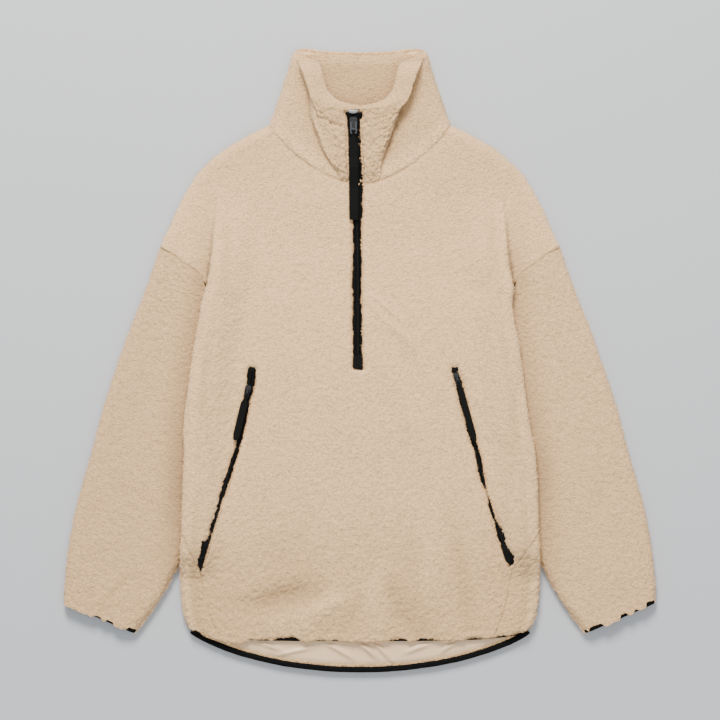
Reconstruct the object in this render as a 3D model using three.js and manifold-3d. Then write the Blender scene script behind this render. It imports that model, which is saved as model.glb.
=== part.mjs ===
// A half-zip sherpa fleece pullover, laid flat on its back with the front facing up.
// Millimetres. X runs across the garment, Y runs from hem to collar, Z is up from the surface.
// The front and back are the upper and lower halves of one flattened tube, the sleeves are
// flattened tubes tucked under the sides of the body, and the collar is a doubled, standing tube
// that has been pressed flat with its mouth open. Seams are gaps of about a third of a millimetre.
import * as THREE from 'three';
import { mergeVertices } from 'three/addons/utils/BufferGeometryUtils.js';
import Module from 'manifold-3d';

const wasm = await Module();
wasm.setup();

// Driving sizes
const FLEECE = 7; // body and sleeve cloth, pile and lining together
const BODY_HEIGHT = 16; // body laid flat, both layers
const SLEEVE_HEIGHT = 15; // sleeve laid flat, both layers
const SEAM_GAP = 0.3;
const SIDE_LIFT = 15.8; // the sides of the body ride over the sleeves by this much
const LIFT_REACH = 45; // how far in from the side fold the back starts to lift
const LIFT_RAMP = 25;
const RISE_REACH = 62; // the front starts to rise further in, and more gently
const RISE_RAMP = 42;
const CREASE_DROP = 6; // width of the steep outer flank of the fold between chest and shoulder
const NECK_HALF = 116;
const NECK_TOP = 303; // where the neck seam meets the shoulders
const NECK_DEPTH = 77;
const NECK_RISE = 7; // the collar's bulk props the front up round the neck
const NECK_RISE_REACH = 95;
const BACK_NECK_DROP = 11;
const COLLAR_WALL_LIFT = 11; // thickness of the doubled collar wall where it lies on the surface
const HEM_SIDE = -346; // level of the hem at the side folds
const HEM_HALF = 219;
const FRONT_HEM_DROP = 12; // the front hem hangs this much lower than its ends
const BACK_HEM_DROP = 52; // the back hem is a longer, rounded tail
const FRONT_BINDING = 5;
const BACK_BINDING = 6.7;
const CUFF_BINDING = 4;
const ZIP_SLOT = 13;
const POCKET_SLOT = 9;
const TAPE_SINK = 2.5; // the zip tapes lie this far below the tips of the pile
const ZIP_BOTTOM = -11;
const ARMHOLE_LOW = 97; // level where the armhole seam goes under the side fold
const ARMHOLE_HIGH = 147; // level where it reaches the shoulder's outline

// Half widths of the body. Above the armhole this is the shoulder's outline.
const BODY = [
  { y: -346, half: 219, roll: 11 },
  { y: -331, half: 225.5, roll: 12 },
  { y: -292, half: 230, roll: 12 },
  { y: -254, half: 230, roll: 12 },
  { y: -216, half: 228, roll: 12 },
  { y: -150, half: 226, roll: 12 },
  { y: -88, half: 221.5, roll: 12 },
  { y: -36, half: 215, roll: 12 },
  { y: 15, half: 208, roll: 12 },
  { y: 60, half: 200, roll: 11 },
  { y: 96, half: 196.5, roll: 11 },
];
const SHOULDER = [
  { y: 97, half: 274, roll: 12 },
  { y: 117, half: 266, roll: 12 },
  { y: 147, half: 256, roll: 12 },
  { y: 170, half: 245, roll: 12 },
  { y: 194, half: 235, roll: 13 },
  { y: 220, half: 221, roll: 15 },
  { y: 245, half: 204, roll: 19 },
  { y: 271, half: 174, roll: 25 },
  { y: 289, half: 144, roll: 28 },
  { y: 302, half: 118, roll: 28 },
];
// The armhole seam, from under the side fold up to the shoulder's outline.
const ARMHOLE = [
  { y: 97, x: 197 },
  { y: 106, x: 201 },
  { y: 118, x: 213 },
  { y: 130, x: 230 },
  { y: 139, x: 242 },
  { y: 147, x: 256 },
];
// The fold where the chest laps over the shoulder: its place and how much of the rise it keeps.
const CREASE = [
  { y: 97, x: 196.5, share: 1 },
  { y: 125, x: 191.5, share: 0.85 },
  { y: 160, x: 188, share: 0.5 },
  { y: 200, x: 184, share: 0.12 },
  { y: 235, x: 180, share: 0 },
  { y: 302, x: 104, share: 0 },
];
// Pairs of points across the sleeve, from the armhole down to the cuff.
const SLEEVE = [
  { outX: 256, outY: 147, inX: 197, inY: 97 },
  { outX: 267, outY: 114, inX: 184, inY: 70 },
  { outX: 281, outY: 76, inX: 186, inY: 42 },
  { outX: 297, outY: 36, inX: 190, inY: 8 },
  { outX: 313, outY: -10, inX: 196, inY: -34 },
  { outX: 328, outY: -56, inX: 202, inY: -78 },
  { outX: 341, outY: -105, inX: 207, inY: -126 },
  { outX: 354.5, outY: -153, inX: 211, inY: -172 },
  { outX: 366.5, outY: -199, inX: 217.5, inY: -216 },
  { outX: 374, outY: -243, inX: 232, inY: -258 },
  { outX: 378, outY: -279, inX: 256, inY: -303 },
  { outX: 380, outY: -309, inX: 288, inY: -349 },
];
// The collar's outer surface: levels from neck seam to rim, on the raised front and beside it.
const COLLAR_LEVELS = [
  { h: 0, front: 23, side: 23, frontIn: 16, sideIn: 16, backIn: 7 },
  { h: 0.1, front: 26, side: 23.5, frontIn: 16.5, sideIn: 14, backIn: 8.5 },
  { h: 0.25, front: 30, side: 23.5, frontIn: 18, sideIn: 12.3, backIn: 11 },
  { h: 0.42, front: 32.5, side: 24, frontIn: 19.5, sideIn: 12.3, backIn: 11 },
  { h: 0.6, front: 34.5, side: 24.5, frontIn: 21, sideIn: 12.6, backIn: 11 },
  { h: 0.78, front: 37, side: 26, frontIn: 24, sideIn: 13.5, backIn: 11 },
  { h: 0.92, front: 39, side: 29, frontIn: 28, sideIn: 17, backIn: 11 },
  { h: 1, front: 39.5, side: 31, frontIn: 31, sideIn: 21, backIn: 11 },
];
// The front rim of the collar in plan, outer and inner edge, from the zip round to the side.
const RIM = [
  { t: 0, outX: 0, outY: 322, inX: 0, inY: 331 },
  { t: 0.22, outX: 30, outY: 322.5, inX: 27, inY: 333 },
  { t: 0.38, outX: 54, outY: 326, inX: 40, inY: 341 },
  { t: 0.47, outX: 63.5, outY: 338, inX: 46, inY: 352 },
  { t: 0.54, outX: 71, outY: 360, inX: 49, inY: 366 },
  { t: 0.6, outX: 80, outY: 381, inX: 55, inY: 379 },
  { t: 0.8, outX: 84, outY: 388, inX: 64, inY: 385 },
  { t: 1, outX: 85.5, outY: 391, inX: 71, inY: 388 },
];
const BACK_RIM = [
  { x: 0, outY: 390, inY: 389 },
  { x: 0.55, outY: 392, inY: 390.5 },
  { x: 0.78, outY: 395, inY: 391.5 },
  { x: 0.92, outY: 394.5, inY: 390.5 },
  { x: 1, outY: 391, inY: 388 },
];
const CREASE_T = 0.6; // the collar's side pleats, as a share of the way from zip to side
const PLEAT_FOOT = 25; // where a pleat starts on the neck seam

// Soft folds on the front: middle, length, half width, direction from +X in degrees, and height.
const FOLDS = [
  { x: 32, y: 54, length: 86, wide: 5, turn: -44, high: 2.2 },
  { x: -96, y: -302, length: 90, wide: 15, turn: 14, high: -2.6 },
  { x: -62, y: -322, length: 110, wide: 12, turn: 20, high: 2.4 },
  { x: 20, y: -292, length: 80, wide: 14, turn: 66, high: 2.2 },
  { x: 52, y: -318, length: 90, wide: 11, turn: 118, high: -2.2 },
  { x: 96, y: -230, length: 190, wide: 15, turn: 82, high: 2.4 },
  { x: 132, y: -282, length: 130, wide: 10, turn: 98, high: -2 },
  { x: -196, y: -60, length: 240, wide: 7, turn: 97, high: -1.6 },
  { x: 196, y: -96, length: 260, wide: 8, turn: 82, high: -1.8 },
  { x: -172, y: 128, length: 130, wide: 8, turn: 96, high: -1.8 },
  { x: 166, y: 120, length: 130, wide: 9, turn: 84, high: -1.6 },
  { x: 60, y: -66, length: 120, wide: 16, turn: 118, high: 1.8 },
];
// Creases of the lining where it shows between the two hems.
const LINING_FOLDS = [
  { x: -128, y: -360, length: 60, wide: 3, turn: 158, high: 1.6 },
  { x: -84, y: -372, length: 44, wide: 2.6, turn: 12, high: 1.4 },
  { x: -28, y: -370, length: 46, wide: 3, turn: 150, high: 1.8 },
  { x: 6, y: -366, length: 44, wide: 3.6, turn: 138, high: 2.6 },
  { x: 26, y: -368, length: 40, wide: 3, turn: 132, high: 2 },
  { x: 78, y: -366, length: 46, wide: 3.2, turn: 22, high: 1.8 },
  { x: 120, y: -362, length: 40, wide: 3, turn: 34, high: 1.8 },
];
// The line of the centre zip, which leans a little.
const ZIP_LINE = [
  { y: -11, x: -2.3 },
  { y: 99, x: -2.7 },
  { y: 179, x: -3.8 },
  { y: 271, x: -7 },
  { y: 326, x: -9 },
];
const POCKETS = [
  {
    name: 'right', topX: -139, topY: -10, lowX: -203, lowY: -264, bow: 4.5,
    tack: [
      [-197.3, -229.6], [-198.7, -234.8], [-200.2, -240], [-200.7, -244.5], [-201, -249],
      [-202.6, -251.6], [-203.6, -256], [-204.2, -260], [-203.7, -264], [-203.3, -268],
    ],
    tackWidths: [11.4, 10, 8.6, 7.6, 6.8, 8.6, 6.8, 5, 3.2, 1.4],
  },
  {
    name: 'left', topX: 121.5, topY: -10, lowX: 192.5, lowY: -262, bow: -3,
    tackWidths: [8, 8, 8, 8, 2.4],
  },
];

// Colours and finishes
const fleece = new THREE.MeshStandardMaterial({ color: 0xd3c1ad, roughness: 0.95 });
const liningCloth = new THREE.MeshStandardMaterial({ color: 0xc8bbaa, roughness: 0.6 });
const blackTape = new THREE.MeshStandardMaterial({ color: 0x1b1b1a, roughness: 0.8 });
const webbing = new THREE.MeshStandardMaterial({ color: 0x1c1d1b, roughness: 0.7 });
const gunmetal = new THREE.MeshStandardMaterial({ color: 0x5f6064, roughness: 0.35, metalness: 1 });
const blackMetal = new THREE.MeshStandardMaterial({ color: 0x232425, roughness: 0.4, metalness: 0.6 });

const clamp = (v, low, high) => Math.min(high, Math.max(low, v));
const lerp = THREE.MathUtils.lerp;
const smooth = (t) => THREE.MathUtils.smoothstep(t, 0, 1);
const range = (n) => Array.from({ length: n }, (_, i) => i);

// A smooth curve through one column of a table, which is sorted by its key column.
function through(table, key, at, column) {
  const last = table.length - 1;
  const v = clamp(at, table[0][key], table[last][key]);
  let i = 0;
  while (i < last - 1 && table[i + 1][key] < v) i += 1;
  const a = table[i];
  const b = table[i + 1];
  const span = b[key] - a[key];
  const t = (v - a[key]) / span;
  const slope = (j) => {
    if (j === 0 || j === last) return (b[column] - a[column]) / span;
    const [p, q] = [table[j - 1], table[j + 1]];
    return (q[column] - p[column]) / (q[key] - p[key]);
  };
  const [m0, m1] = [slope(i) * span, slope(i + 1) * span];
  const [t2, t3] = [t * t, t * t * t];
  return (
    (2 * t3 - 3 * t2 + 1) * a[column] +
    (t3 - 2 * t2 + t) * m0 +
    (3 * t2 - 2 * t3) * b[column] +
    (t3 - t2) * m1
  );
}

// A soft ridge or trough: full height along its middle, nothing beyond its ends.
function ridge(fold, x, y) {
  const a = THREE.MathUtils.degToRad(fold.turn);
  const [dx, dy] = [x - fold.x, y - fold.y];
  const along = (dx * Math.cos(a) + dy * Math.sin(a)) / (fold.length / 2);
  const across = (dy * Math.cos(a) - dx * Math.sin(a)) / fold.wide;
  return fold.high * Math.exp(-(across ** 2)) * Math.exp(-(along ** 4));
}
const ridges = (folds, x, y) => folds.reduce((sum, fold) => sum + ridge(fold, x, y), 0);

// Rounded edge of a flattened tube: 0 at the fold, 1 once the distance reaches the roll.
const rounded = (distance, roll) => Math.sqrt(1 - (1 - clamp(distance / roll, 0, 1)) ** 2);

const neckY = (x) =>
  NECK_TOP - NECK_DEPTH * (1 - clamp(Math.abs(x) / NECK_HALF, 0, 1) ** 1.7) ** (1 / 1.2);
const frontHem = (x) =>
  HEM_SIDE - FRONT_HEM_DROP * (1 - clamp(Math.abs(x) / HEM_HALF, 0, 1) ** 5);
const backHem = (x) =>
  HEM_SIDE - BACK_HEM_DROP * (1 - clamp(Math.abs(x) / HEM_HALF, 0, 1) ** 2.05) ** 0.8;

// The side fold of the body below the armhole, and the chest's crease above it.
const foldX = (y) =>
  y < ARMHOLE_LOW ? through(BODY, 'y', y, 'half') : through(CREASE, 'y', y, 'x');

// How much of the full rise is left at a point: it grows towards the fold and drops beyond it.
function overSleeve(x, y, reach, ramp) {
  const edge = foldX(y);
  const inside = smooth((Math.abs(x) - (edge - reach)) / ramp);
  return inside * (1 - smooth((Math.abs(x) - edge + 2) / CREASE_DROP) * (y >= ARMHOLE_LOW ? 1 : 0));
}
const lowWindow = (y) => smooth((y + 285) / 50);
const underside = (x, y) =>
  SIDE_LIFT * overSleeve(x, y, LIFT_REACH, LIFT_RAMP) * lowWindow(y) * (1 - smooth((y - 90) / 32));
const riseShare = (y) => (y < ARMHOLE_LOW ? 1 : through(CREASE, 'y', y, 'share'));
function propped(x, y) {
  const far = Math.hypot(x / 1.45, NECK_TOP - y) - NECK_DEPTH;
  return NECK_RISE * smooth(1 - far / NECK_RISE_REACH);
}
const plainTop = (x, y) =>
  BODY_HEIGHT + propped(x, y) + SIDE_LIFT * overSleeve(x, y, RISE_REACH, RISE_RAMP) * lowWindow(y) * riseShare(y);
const bodyTop = (x, y) => plainTop(x, y) + ridges(FOLDS, x, y);

// Makes a closed geometry from rows of points that share one column count.
// faces(index) lists triangles as index triples.
function solid(points, triangles) {
  const geometry = new THREE.BufferGeometry();
  geometry.setAttribute('position', new THREE.Float32BufferAttribute(points.flat(), 3));
  const [a, b, c] = [new THREE.Vector3(), new THREE.Vector3(), new THREE.Vector3()];
  let volume = 0;
  for (const [i, j, k] of triangles) {
    volume += a.fromArray(points[i]).dot(b.fromArray(points[j]).cross(c.fromArray(points[k])));
  }
  geometry.setIndex((volume < 0 ? triangles.map(([i, j, k]) => [i, k, j]) : triangles).flat());
  return geometry;
}

// A wall between an outer and an inner grid of points. wrapped joins the last column to the first.
function wall(outer, inner, wrapped = false) {
  const [rows, cols] = [outer.length, outer[0].length];
  const count = rows * cols;
  const at = (i, j) => i * cols + (j % cols);
  const triangles = [];
  const quad = (p, q, r, s) => triangles.push([p, q, r], [p, r, s]);
  for (const i of range(rows - 1)) {
    for (const j of range(wrapped ? cols : cols - 1)) {
      quad(at(i, j), at(i, j + 1), at(i + 1, j + 1), at(i + 1, j));
      quad(count + at(i, j), count + at(i + 1, j), count + at(i + 1, j + 1), count + at(i, j + 1));
    }
  }
  for (const j of range(wrapped ? cols : cols - 1)) {
    quad(at(0, j), count + at(0, j), count + at(0, j + 1), at(0, j + 1));
    quad(at(rows - 1, j), at(rows - 1, j + 1), count + at(rows - 1, j + 1), count + at(rows - 1, j));
  }
  if (!wrapped) {
    for (const i of range(rows - 1)) {
      quad(at(i, 0), at(i + 1, 0), count + at(i + 1, 0), count + at(i, 0));
      const end = cols - 1;
      quad(at(i, end), count + at(i, end), count + at(i + 1, end), at(i + 1, end));
    }
  }
  return solid([...outer.flat(), ...inner.flat()], triangles);
}

// A bar through closed sections, each with the same number of points, capped at both ends.
function bar(sections) {
  const n = sections[0].length;
  const triangles = [];
  for (const i of range(sections.length - 1)) {
    for (const j of range(n)) {
      const [p, q] = [i * n + j, i * n + ((j + 1) % n)];
      triangles.push([p, q, q + n], [p, q + n, p + n]);
    }
  }
  const end = (sections.length - 1) * n;
  for (const j of range(n - 2)) {
    triangles.push([0, j + 2, j + 1], [end, end + j + 1, end + j + 2]);
  }
  return solid(sections.flat(), triangles);
}

// Booleans
function toManifold(geometry) {
  const bare = geometry.clone();
  bare.deleteAttribute('normal');
  bare.deleteAttribute('uv');
  const merged = mergeVertices(bare, 1e-4);
  return new wasm.Manifold(
    new wasm.Mesh({
      numProp: 3,
      vertProperties: new Float32Array(merged.attributes.position.array),
      triVerts: new Uint32Array(merged.index.array),
    }),
  );
}
function toGeometry(manifold) {
  const mesh = manifold.getMesh();
  const geometry = new THREE.BufferGeometry();
  geometry.setAttribute('position', new THREE.BufferAttribute(new Float32Array(mesh.vertProperties), 3));
  geometry.setIndex(new THREE.BufferAttribute(new Uint32Array(mesh.triVerts), 1));
  return geometry;
}
// A tall upright block over a plan outline, used as a cutter.
function cutter(outline) {
  const shape = new THREE.Shape(outline.map(([x, y]) => new THREE.Vector2(x, y)));
  const geometry = new THREE.ExtrudeGeometry(shape, { depth: 100, bevelEnabled: false });
  return toManifold(geometry.translate(0, 0, -20));
}

const group = new THREE.Group();
function add(name, geometry, material) {
  const mesh = new THREE.Mesh(geometry, material);
  mesh.name = name;
  group.add(mesh);
  return mesh;
}

// Body
const OUTER_COLUMNS = 4;
const INNER_COLUMNS = 6;
// Levels of the rows of the body, from hem to neck.
const BODY_LEVELS = [
  ...[-346, -334, -316, -292, -264, -234, -200, -160, -116, -70, -22, 26, 64, 90],
  ...[97, 106, 118, 131, 147, 168, 196, 226, 252, 274, 291, 302],
];

// Places across one half of a row, from its outer end to the middle.
function rowPlaces(y) {
  const outline = y < ARMHOLE_LOW ? through(BODY, 'y', y, 'half') : through(SHOULDER, 'y', y, 'half');
  const roll = y < ARMHOLE_LOW ? through(BODY, 'y', y, 'roll') : through(SHOULDER, 'y', y, 'roll');
  const onArmhole = y >= ARMHOLE_LOW && y < ARMHOLE_HIGH;
  const end = onArmhole ? through(ARMHOLE, 'y', y, 'x') : outline;
  const crease = y < ARMHOLE_LOW ? outline - roll : Math.min(foldX(y), end - 0.5);
  const places = range(OUTER_COLUMNS).map((k) => lerp(end, crease, (k / OUTER_COLUMNS) ** 1.7));
  places.push(crease, crease - CREASE_DROP);
  const from = crease - CREASE_DROP;
  places.push(...range(INNER_COLUMNS).map((k) => from * (1 - (k + 1) / INNER_COLUMNS)));
  return { outline, roll, places };
}

// One row of the flattened body: outer and inner points of the upper or the lower half.
// The row bends down to meet the hem's curve as it nears the hem.
function bodyRow(level, upper) {
  const { outline, roll, places } = rowPlaces(level);
  const hem = upper ? frontHem : backHem;
  const edge = upper ? FRONT_BINDING : BACK_BINDING;
  const bend = (1 - smooth((level - HEM_SIDE) / 150)) ** 1.2;
  const drop = (x) => bend * (hem(x) - HEM_SIDE + edge + SEAM_GAP);
  const across = [...places.map((x) => -x), ...places.slice(0, -1).reverse()];
  const outer = across.map((x) => {
    const y = level + drop(x);
    const [low, high] = [underside(x, level), bodyTop(x, y)];
    const middle = (low + plainTop(x, level)) / 2;
    const share = rounded(outline - Math.abs(x), roll);
    return [x, y, upper ? middle + (high - middle) * share : middle - (middle - low) * share];
  });
  const inner = across.map((x) => {
    const inset = (Math.abs(x) - FLEECE * clamp(1 - (outline - Math.abs(x)) / 30, 0, 1)) * Math.sign(x);
    const y = level + drop(x);
    const [low, high] = [underside(inset, level), plainTop(inset, level)];
    const middle = (low + high) / 2;
    const share = rounded(outline - FLEECE - Math.abs(inset), roll - FLEECE);
    const slack = (high - low) / 2 - FLEECE;
    return [inset, y, upper ? middle + slack * share : middle - slack * share];
  });
  return { outer, inner };
}
// Parts the upper and lower halves by the seam gap where they meet at the side folds.
const parted = (points, upper) =>
  points.map(([x, y, z]) => [x, y, Math.max(0, z + (upper ? 1 : -1) * (SEAM_GAP / 2))]);
function bodyHalf(upper) {
  const rows = BODY_LEVELS.map((level) => bodyRow(level, upper));
  return toManifold(
    wall(
      rows.map((row) => parted(row.outer, upper)),
      rows.map((row) => parted(row.inner, upper)),
    ),
  );
}
// The lower part of the body as one closed tube, from which the side panels are cut.
function bodyTube() {
  const rows = BODY_LEVELS.filter((level) => level < -180).map((level) => {
    const [top, bottom] = [bodyRow(level, true), bodyRow(level, false)];
    const join = (a, b) => [...a, ...b.slice(1, -1).reverse()];
    return { outer: join(top.outer, bottom.outer), inner: join(top.inner, bottom.inner) };
  });
  return toManifold(wall(rows.map((row) => row.outer), rows.map((row) => row.inner), true));
}

// Pockets and side panels
const pocketPoint = (pocket, s) => {
  const [dx, dy] = [pocket.lowX - pocket.topX, pocket.lowY - pocket.topY];
  const long = Math.hypot(dx, dy);
  const bow = pocket.bow * 4 * s * (1 - s);
  return [pocket.topX + dx * s - (dy / long) * bow, pocket.topY + dy * s + (dx / long) * bow];
};
// Points of a plan line moved sideways by an amount, positive to the left of its direction.
function beside(line, offset) {
  return line.map(([x, y], i) => {
    const [ax, ay] = line[Math.max(i - 1, 0)];
    const [bx, by] = line[Math.min(i + 1, line.length - 1)];
    const long = Math.hypot(bx - ax, by - ay);
    return [x - ((by - ay) / long) * offset, y + ((bx - ax) / long) * offset];
  });
}
const stripOutline = (line, width) => [...beside(line, width / 2), ...beside(line, -width / 2).reverse()];
const pocketLine = (pocket, count = 11) => range(count).map((i) => pocketPoint(pocket, i / (count - 1)));

// The side panel's outline: from the side fold to the foot of the pocket, then down to the hem.
function sidePanelOutline(pocket, inset) {
  const side = Math.sign(pocket.topX);
  const foot = Math.abs(pocket.lowX) + 2;
  const seam = [
    [252, -178],
    [228, -219],
    [foot, pocket.lowY - 5],
    [foot - 5, -300],
    [foot - 13, -328],
    [foot - 23, -352],
    [foot - 34, -400],
  ];
  return [...seam.map(([x, y]) => [side * (x + inset), y - inset]), [side * 300, -400], [side * 300, -178]];
}

const zipX = (y) => through(ZIP_LINE, 'y', y, 'x');
const zipLevels = (low, high, count) => range(count).map((i) => lerp(low, high, i / (count - 1)));
const zipOutline = (low, high, width) =>
  stripOutline(zipLevels(low, high, 12).map((y) => [zipX(y), y]), width);
const neckOutline = [
  ...range(33).map((i) => {
    const x = lerp(-NECK_HALF, NECK_HALF, i / 32);
    return [x, neckY(x)];
  }),
  [NECK_HALF + 6, NECK_TOP + 0.5],
  [NECK_HALF + 6, 340],
  [-NECK_HALF - 6, 340],
  [-NECK_HALF - 6, NECK_TOP + 0.5],
];
const backNeckY = (x) => NECK_TOP - BACK_NECK_DROP * (1 - (x / NECK_HALF) ** 2);
const backNeckOutline = [
  ...range(17).map((i) => {
    const x = lerp(-NECK_HALF, NECK_HALF, i / 16);
    return [x, backNeckY(x)];
  }),
  [NECK_HALF + 6, 340],
  [-NECK_HALF - 6, 340],
];

const sideCut = POCKETS.map((pocket) => cutter(sidePanelOutline(pocket, 0)));
let frontPanel = bodyHalf(true).subtract(cutter(neckOutline));
frontPanel = frontPanel.subtract(cutter(zipOutline(ZIP_BOTTOM, 330, ZIP_SLOT)));
let backPanel = bodyHalf(false).subtract(cutter(backNeckOutline));
for (const [i, pocket] of POCKETS.entries()) {
  frontPanel = frontPanel.subtract(cutter(stripOutline(pocketLine(pocket), POCKET_SLOT)));
  frontPanel = frontPanel.subtract(sideCut[i]);
  backPanel = backPanel.subtract(sideCut[i]);
}
add('front_panel', toGeometry(frontPanel), fleece);
add('back_panel', toGeometry(backPanel), fleece);
const tube = bodyTube();
for (const pocket of POCKETS) {
  const panel = tube.intersect(cutter(sidePanelOutline(pocket, SEAM_GAP)));
  add(`${pocket.name}_side_panel`, toGeometry(panel), fleece);
}

// Sleeves
const SLEEVE_RINGS = 17;
const SLEEVE_HALF_POINTS = 9;
// A ring of a sleeve at share s of its length. inset takes the ring in, for the inner wall.
function sleeveRing(s, side, inset, height, shorten = 0, tuck = 0) {
  const keyed = SLEEVE.map((row, i) => ({ ...row, s: i / (SLEEVE.length - 1) }));
  const get = (column) => through(keyed, 's', s, column);
  const out = new THREE.Vector2(get('outX'), get('outY'));
  const inn = new THREE.Vector2(get('inX'), get('inY'));
  const along = new THREE.Vector2(out.y - inn.y, inn.x - out.x).normalize(); // towards the cuff
  const width = out.distanceTo(inn);
  const roll = 12 - inset;
  const half = height / 2;
  const ring = [];
  for (const k of range(SLEEVE_HALF_POINTS * 2)) {
    const over = k < SLEEVE_HALF_POINTS;
    const turn = (over ? k : SLEEVE_HALF_POINTS * 2 - k) / SLEEVE_HALF_POINTS;
    const eased = lerp(turn, 0.5 - 0.5 * Math.cos(Math.PI * turn), 0.75);
    const from = lerp(inset, width - inset, eased);
    const p = out.clone().lerp(inn, from / width);
    const near = Math.min(from - inset, width - inset - from);
    const rise = (half - inset) * rounded(near, roll);
    // The first rings bend to follow the armhole seam.
    const level = lerp(ARMHOLE_HIGH, ARMHOLE_LOW, from / width);
    const straight = lerp(SLEEVE[0].outX, SLEEVE[0].inX, from / width);
    const follow = (1 - smooth(s * 5)) * (through(ARMHOLE, 'y', level, 'x') - straight);
    p.x += follow;
    p.addScaledVector(along, shorten + tuck * smooth((from / width - 0.75) / 0.25));
    ring.push([side * p.x, p.y, half + (over ? rise : -rise)]);
  }
  return ring;
}
// Keeps the first ring clear of the body along the armhole seam, and its hidden end further in.
const sleeveShift = (s) => (1 - smooth(s * 8)) * 1.1;
const sleeveTuck = (s) => (1 - smooth(s * 8)) * 5;
for (const [side, name] of [[-1, 'right'], [1, 'left']]) {
  const stations = range(SLEEVE_RINGS).map((i) => i / (SLEEVE_RINGS - 1));
  const short = (s) => sleeveShift(s) - smooth((s - 0.9) / 0.1) * (CUFF_BINDING + SEAM_GAP);
  const rings = (inset) =>
    stations.map((s) => sleeveRing(s, side, inset, SLEEVE_HEIGHT, short(s), sleeveTuck(s)));
  const [outer, inner] = [rings(0), rings(FLEECE - 0.5)];
  add(`${name}_sleeve`, wall(outer, inner, true), fleece);
  const cuff = (inset) =>
    [-CUFF_BINDING, -CUFF_BINDING / 2, 0].map((d) => sleeveRing(1, side, inset, SLEEVE_HEIGHT, d));
  add(`${name}_cuff_binding`, wall(cuff(1.4), cuff(5.2), true), blackTape);
}

// Collar
const frontSteps = [-1, -0.97, -0.92, -0.84, -0.74, -0.65, -0.61, -0.56, -0.5, -0.42, -0.32, -0.2, -0.1];
const COLLAR_FRONT = [...frontSteps, 0, ...frontSteps.map((t) => -t).reverse()];
const COLLAR_BACK = [0.97, 0.9, 0.78, 0.6, 0.4, 0.2, 0, -0.2, -0.4, -0.6, -0.78, -0.9, -0.97];
const COLLAR_ROLL = 13;

// One column of the collar, from the neck seam up the outer face, over the rim and down inside.
function collarColumn(t, onFront) {
  const [size, side] = [Math.abs(t), Math.sign(t)];
  const footX = size < CREASE_T
    ? PLEAT_FOOT * (size / CREASE_T)
    : lerp(PLEAT_FOOT, NECK_HALF, (size - CREASE_T) / (1 - CREASE_T));
  const foot = onFront
    ? [footX, neckY(footX) + 0.4]
    : [size * NECK_HALF, backNeckY(size * NECK_HALF) + 0.4];
  const rim = onFront
    ? ['outX', 'outY', 'inX', 'inY'].map((column) => through(RIM, 't', size, column))
    : [size * 85.5, through(BACK_RIM, 'x', size, 'outY'), size * 71, through(BACK_RIM, 'x', size, 'inY')];
  const footIn = [Math.min(foot[0], NECK_HALF - 9), foot[1]];
  const level = (h, column) => through(COLLAR_LEVELS, 'h', h, column);
  // Distance in from the side fold, which rounds the edge.
  const fromSide = (x, h, inset) => lerp(NECK_HALF, 85.5, h) - inset - x;
  const outerPoint = (h) => {
    const [x, y] = [lerp(foot[0], rim[0], h), lerp(foot[1], rim[1], h)];
    const middle = level(h, 'side') / 2;
    const share = rounded(fromSide(x, h, 0), COLLAR_ROLL);
    if (!onFront) return [side * x, y, middle - middle * share];
    const pleat = smooth((CREASE_T + 0.01 - size) / 0.06);
    const base = lerp(bodyTop(side * x, y), level(h, 'side'), smooth(h / 0.12));
    const high = lerp(base, Math.max(base, level(h, 'front')), pleat);
    return [side * x, y, middle + (high - middle) * share];
  };
  const innerPoint = (h) => {
    const [x, y] = [lerp(footIn[0], rim[2], h), lerp(footIn[1], rim[3], h)];
    const pleat = smooth((CREASE_T + 0.04 - size) / 0.12);
    const share = rounded((1 - size) * 60, 12);
    const [low, high] = [level(h, 'backIn'), lerp(level(h, 'sideIn'), level(h, 'frontIn'), pleat)];
    const middle = (low + level(h, 'sideIn')) / 2;
    return [side * x, y, onFront ? middle + (high - middle) * share : middle + (low - middle) * share];
  };
  const levels = COLLAR_LEVELS.map((row) => row.h);
  const [tip, lip] = [outerPoint(1), innerPoint(1)];
  const over = onFront ? 1 - smooth((size - 0.75) / 0.25) : 0;
  const cap = (share, swell) => [
    lerp(tip[0], lip[0], share),
    lerp(tip[1], lip[1], share) + swell * (1 - over) * 4.2,
    lerp(tip[2], lip[2], share) + swell * over * 3.4,
  ];
  const inside = [1, 0.8, 0.55, 0.3, 0];
  return [...levels.map(outerPoint), cap(0.25, 0.85), cap(0.62, 1), ...inside.map(innerPoint)];
}
const collarColumns = [
  ...COLLAR_FRONT.map((t) => collarColumn(t, true)),
  ...COLLAR_BACK.map((t) => collarColumn(t, false)),
];
// The profile closes on itself, so the collar is a ring of closed profiles.
function ringOfProfiles(columns) {
  const [count, n] = [columns.length, columns[0].length];
  const triangles = [];
  for (const i of range(count)) {
    for (const j of range(n)) {
      const [p, q] = [i * n + j, i * n + ((j + 1) % n)];
      const [r, s] = [((i + 1) % count) * n + j, ((i + 1) % count) * n + ((j + 1) % n)];
      triangles.push([p, q, s], [p, s, r]);
    }
  }
  return solid(columns.flat(), triangles);
}
const collar = toManifold(ringOfProfiles(collarColumns)).subtract(
  cutter(zipOutline(205, 345, ZIP_SLOT + 2)).intersect(
    toManifold(new THREE.BoxGeometry(60, 200, 60).translate(0, 280, 43.5)),
  ),
);
add('collar', toGeometry(collar), fleece);

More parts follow.
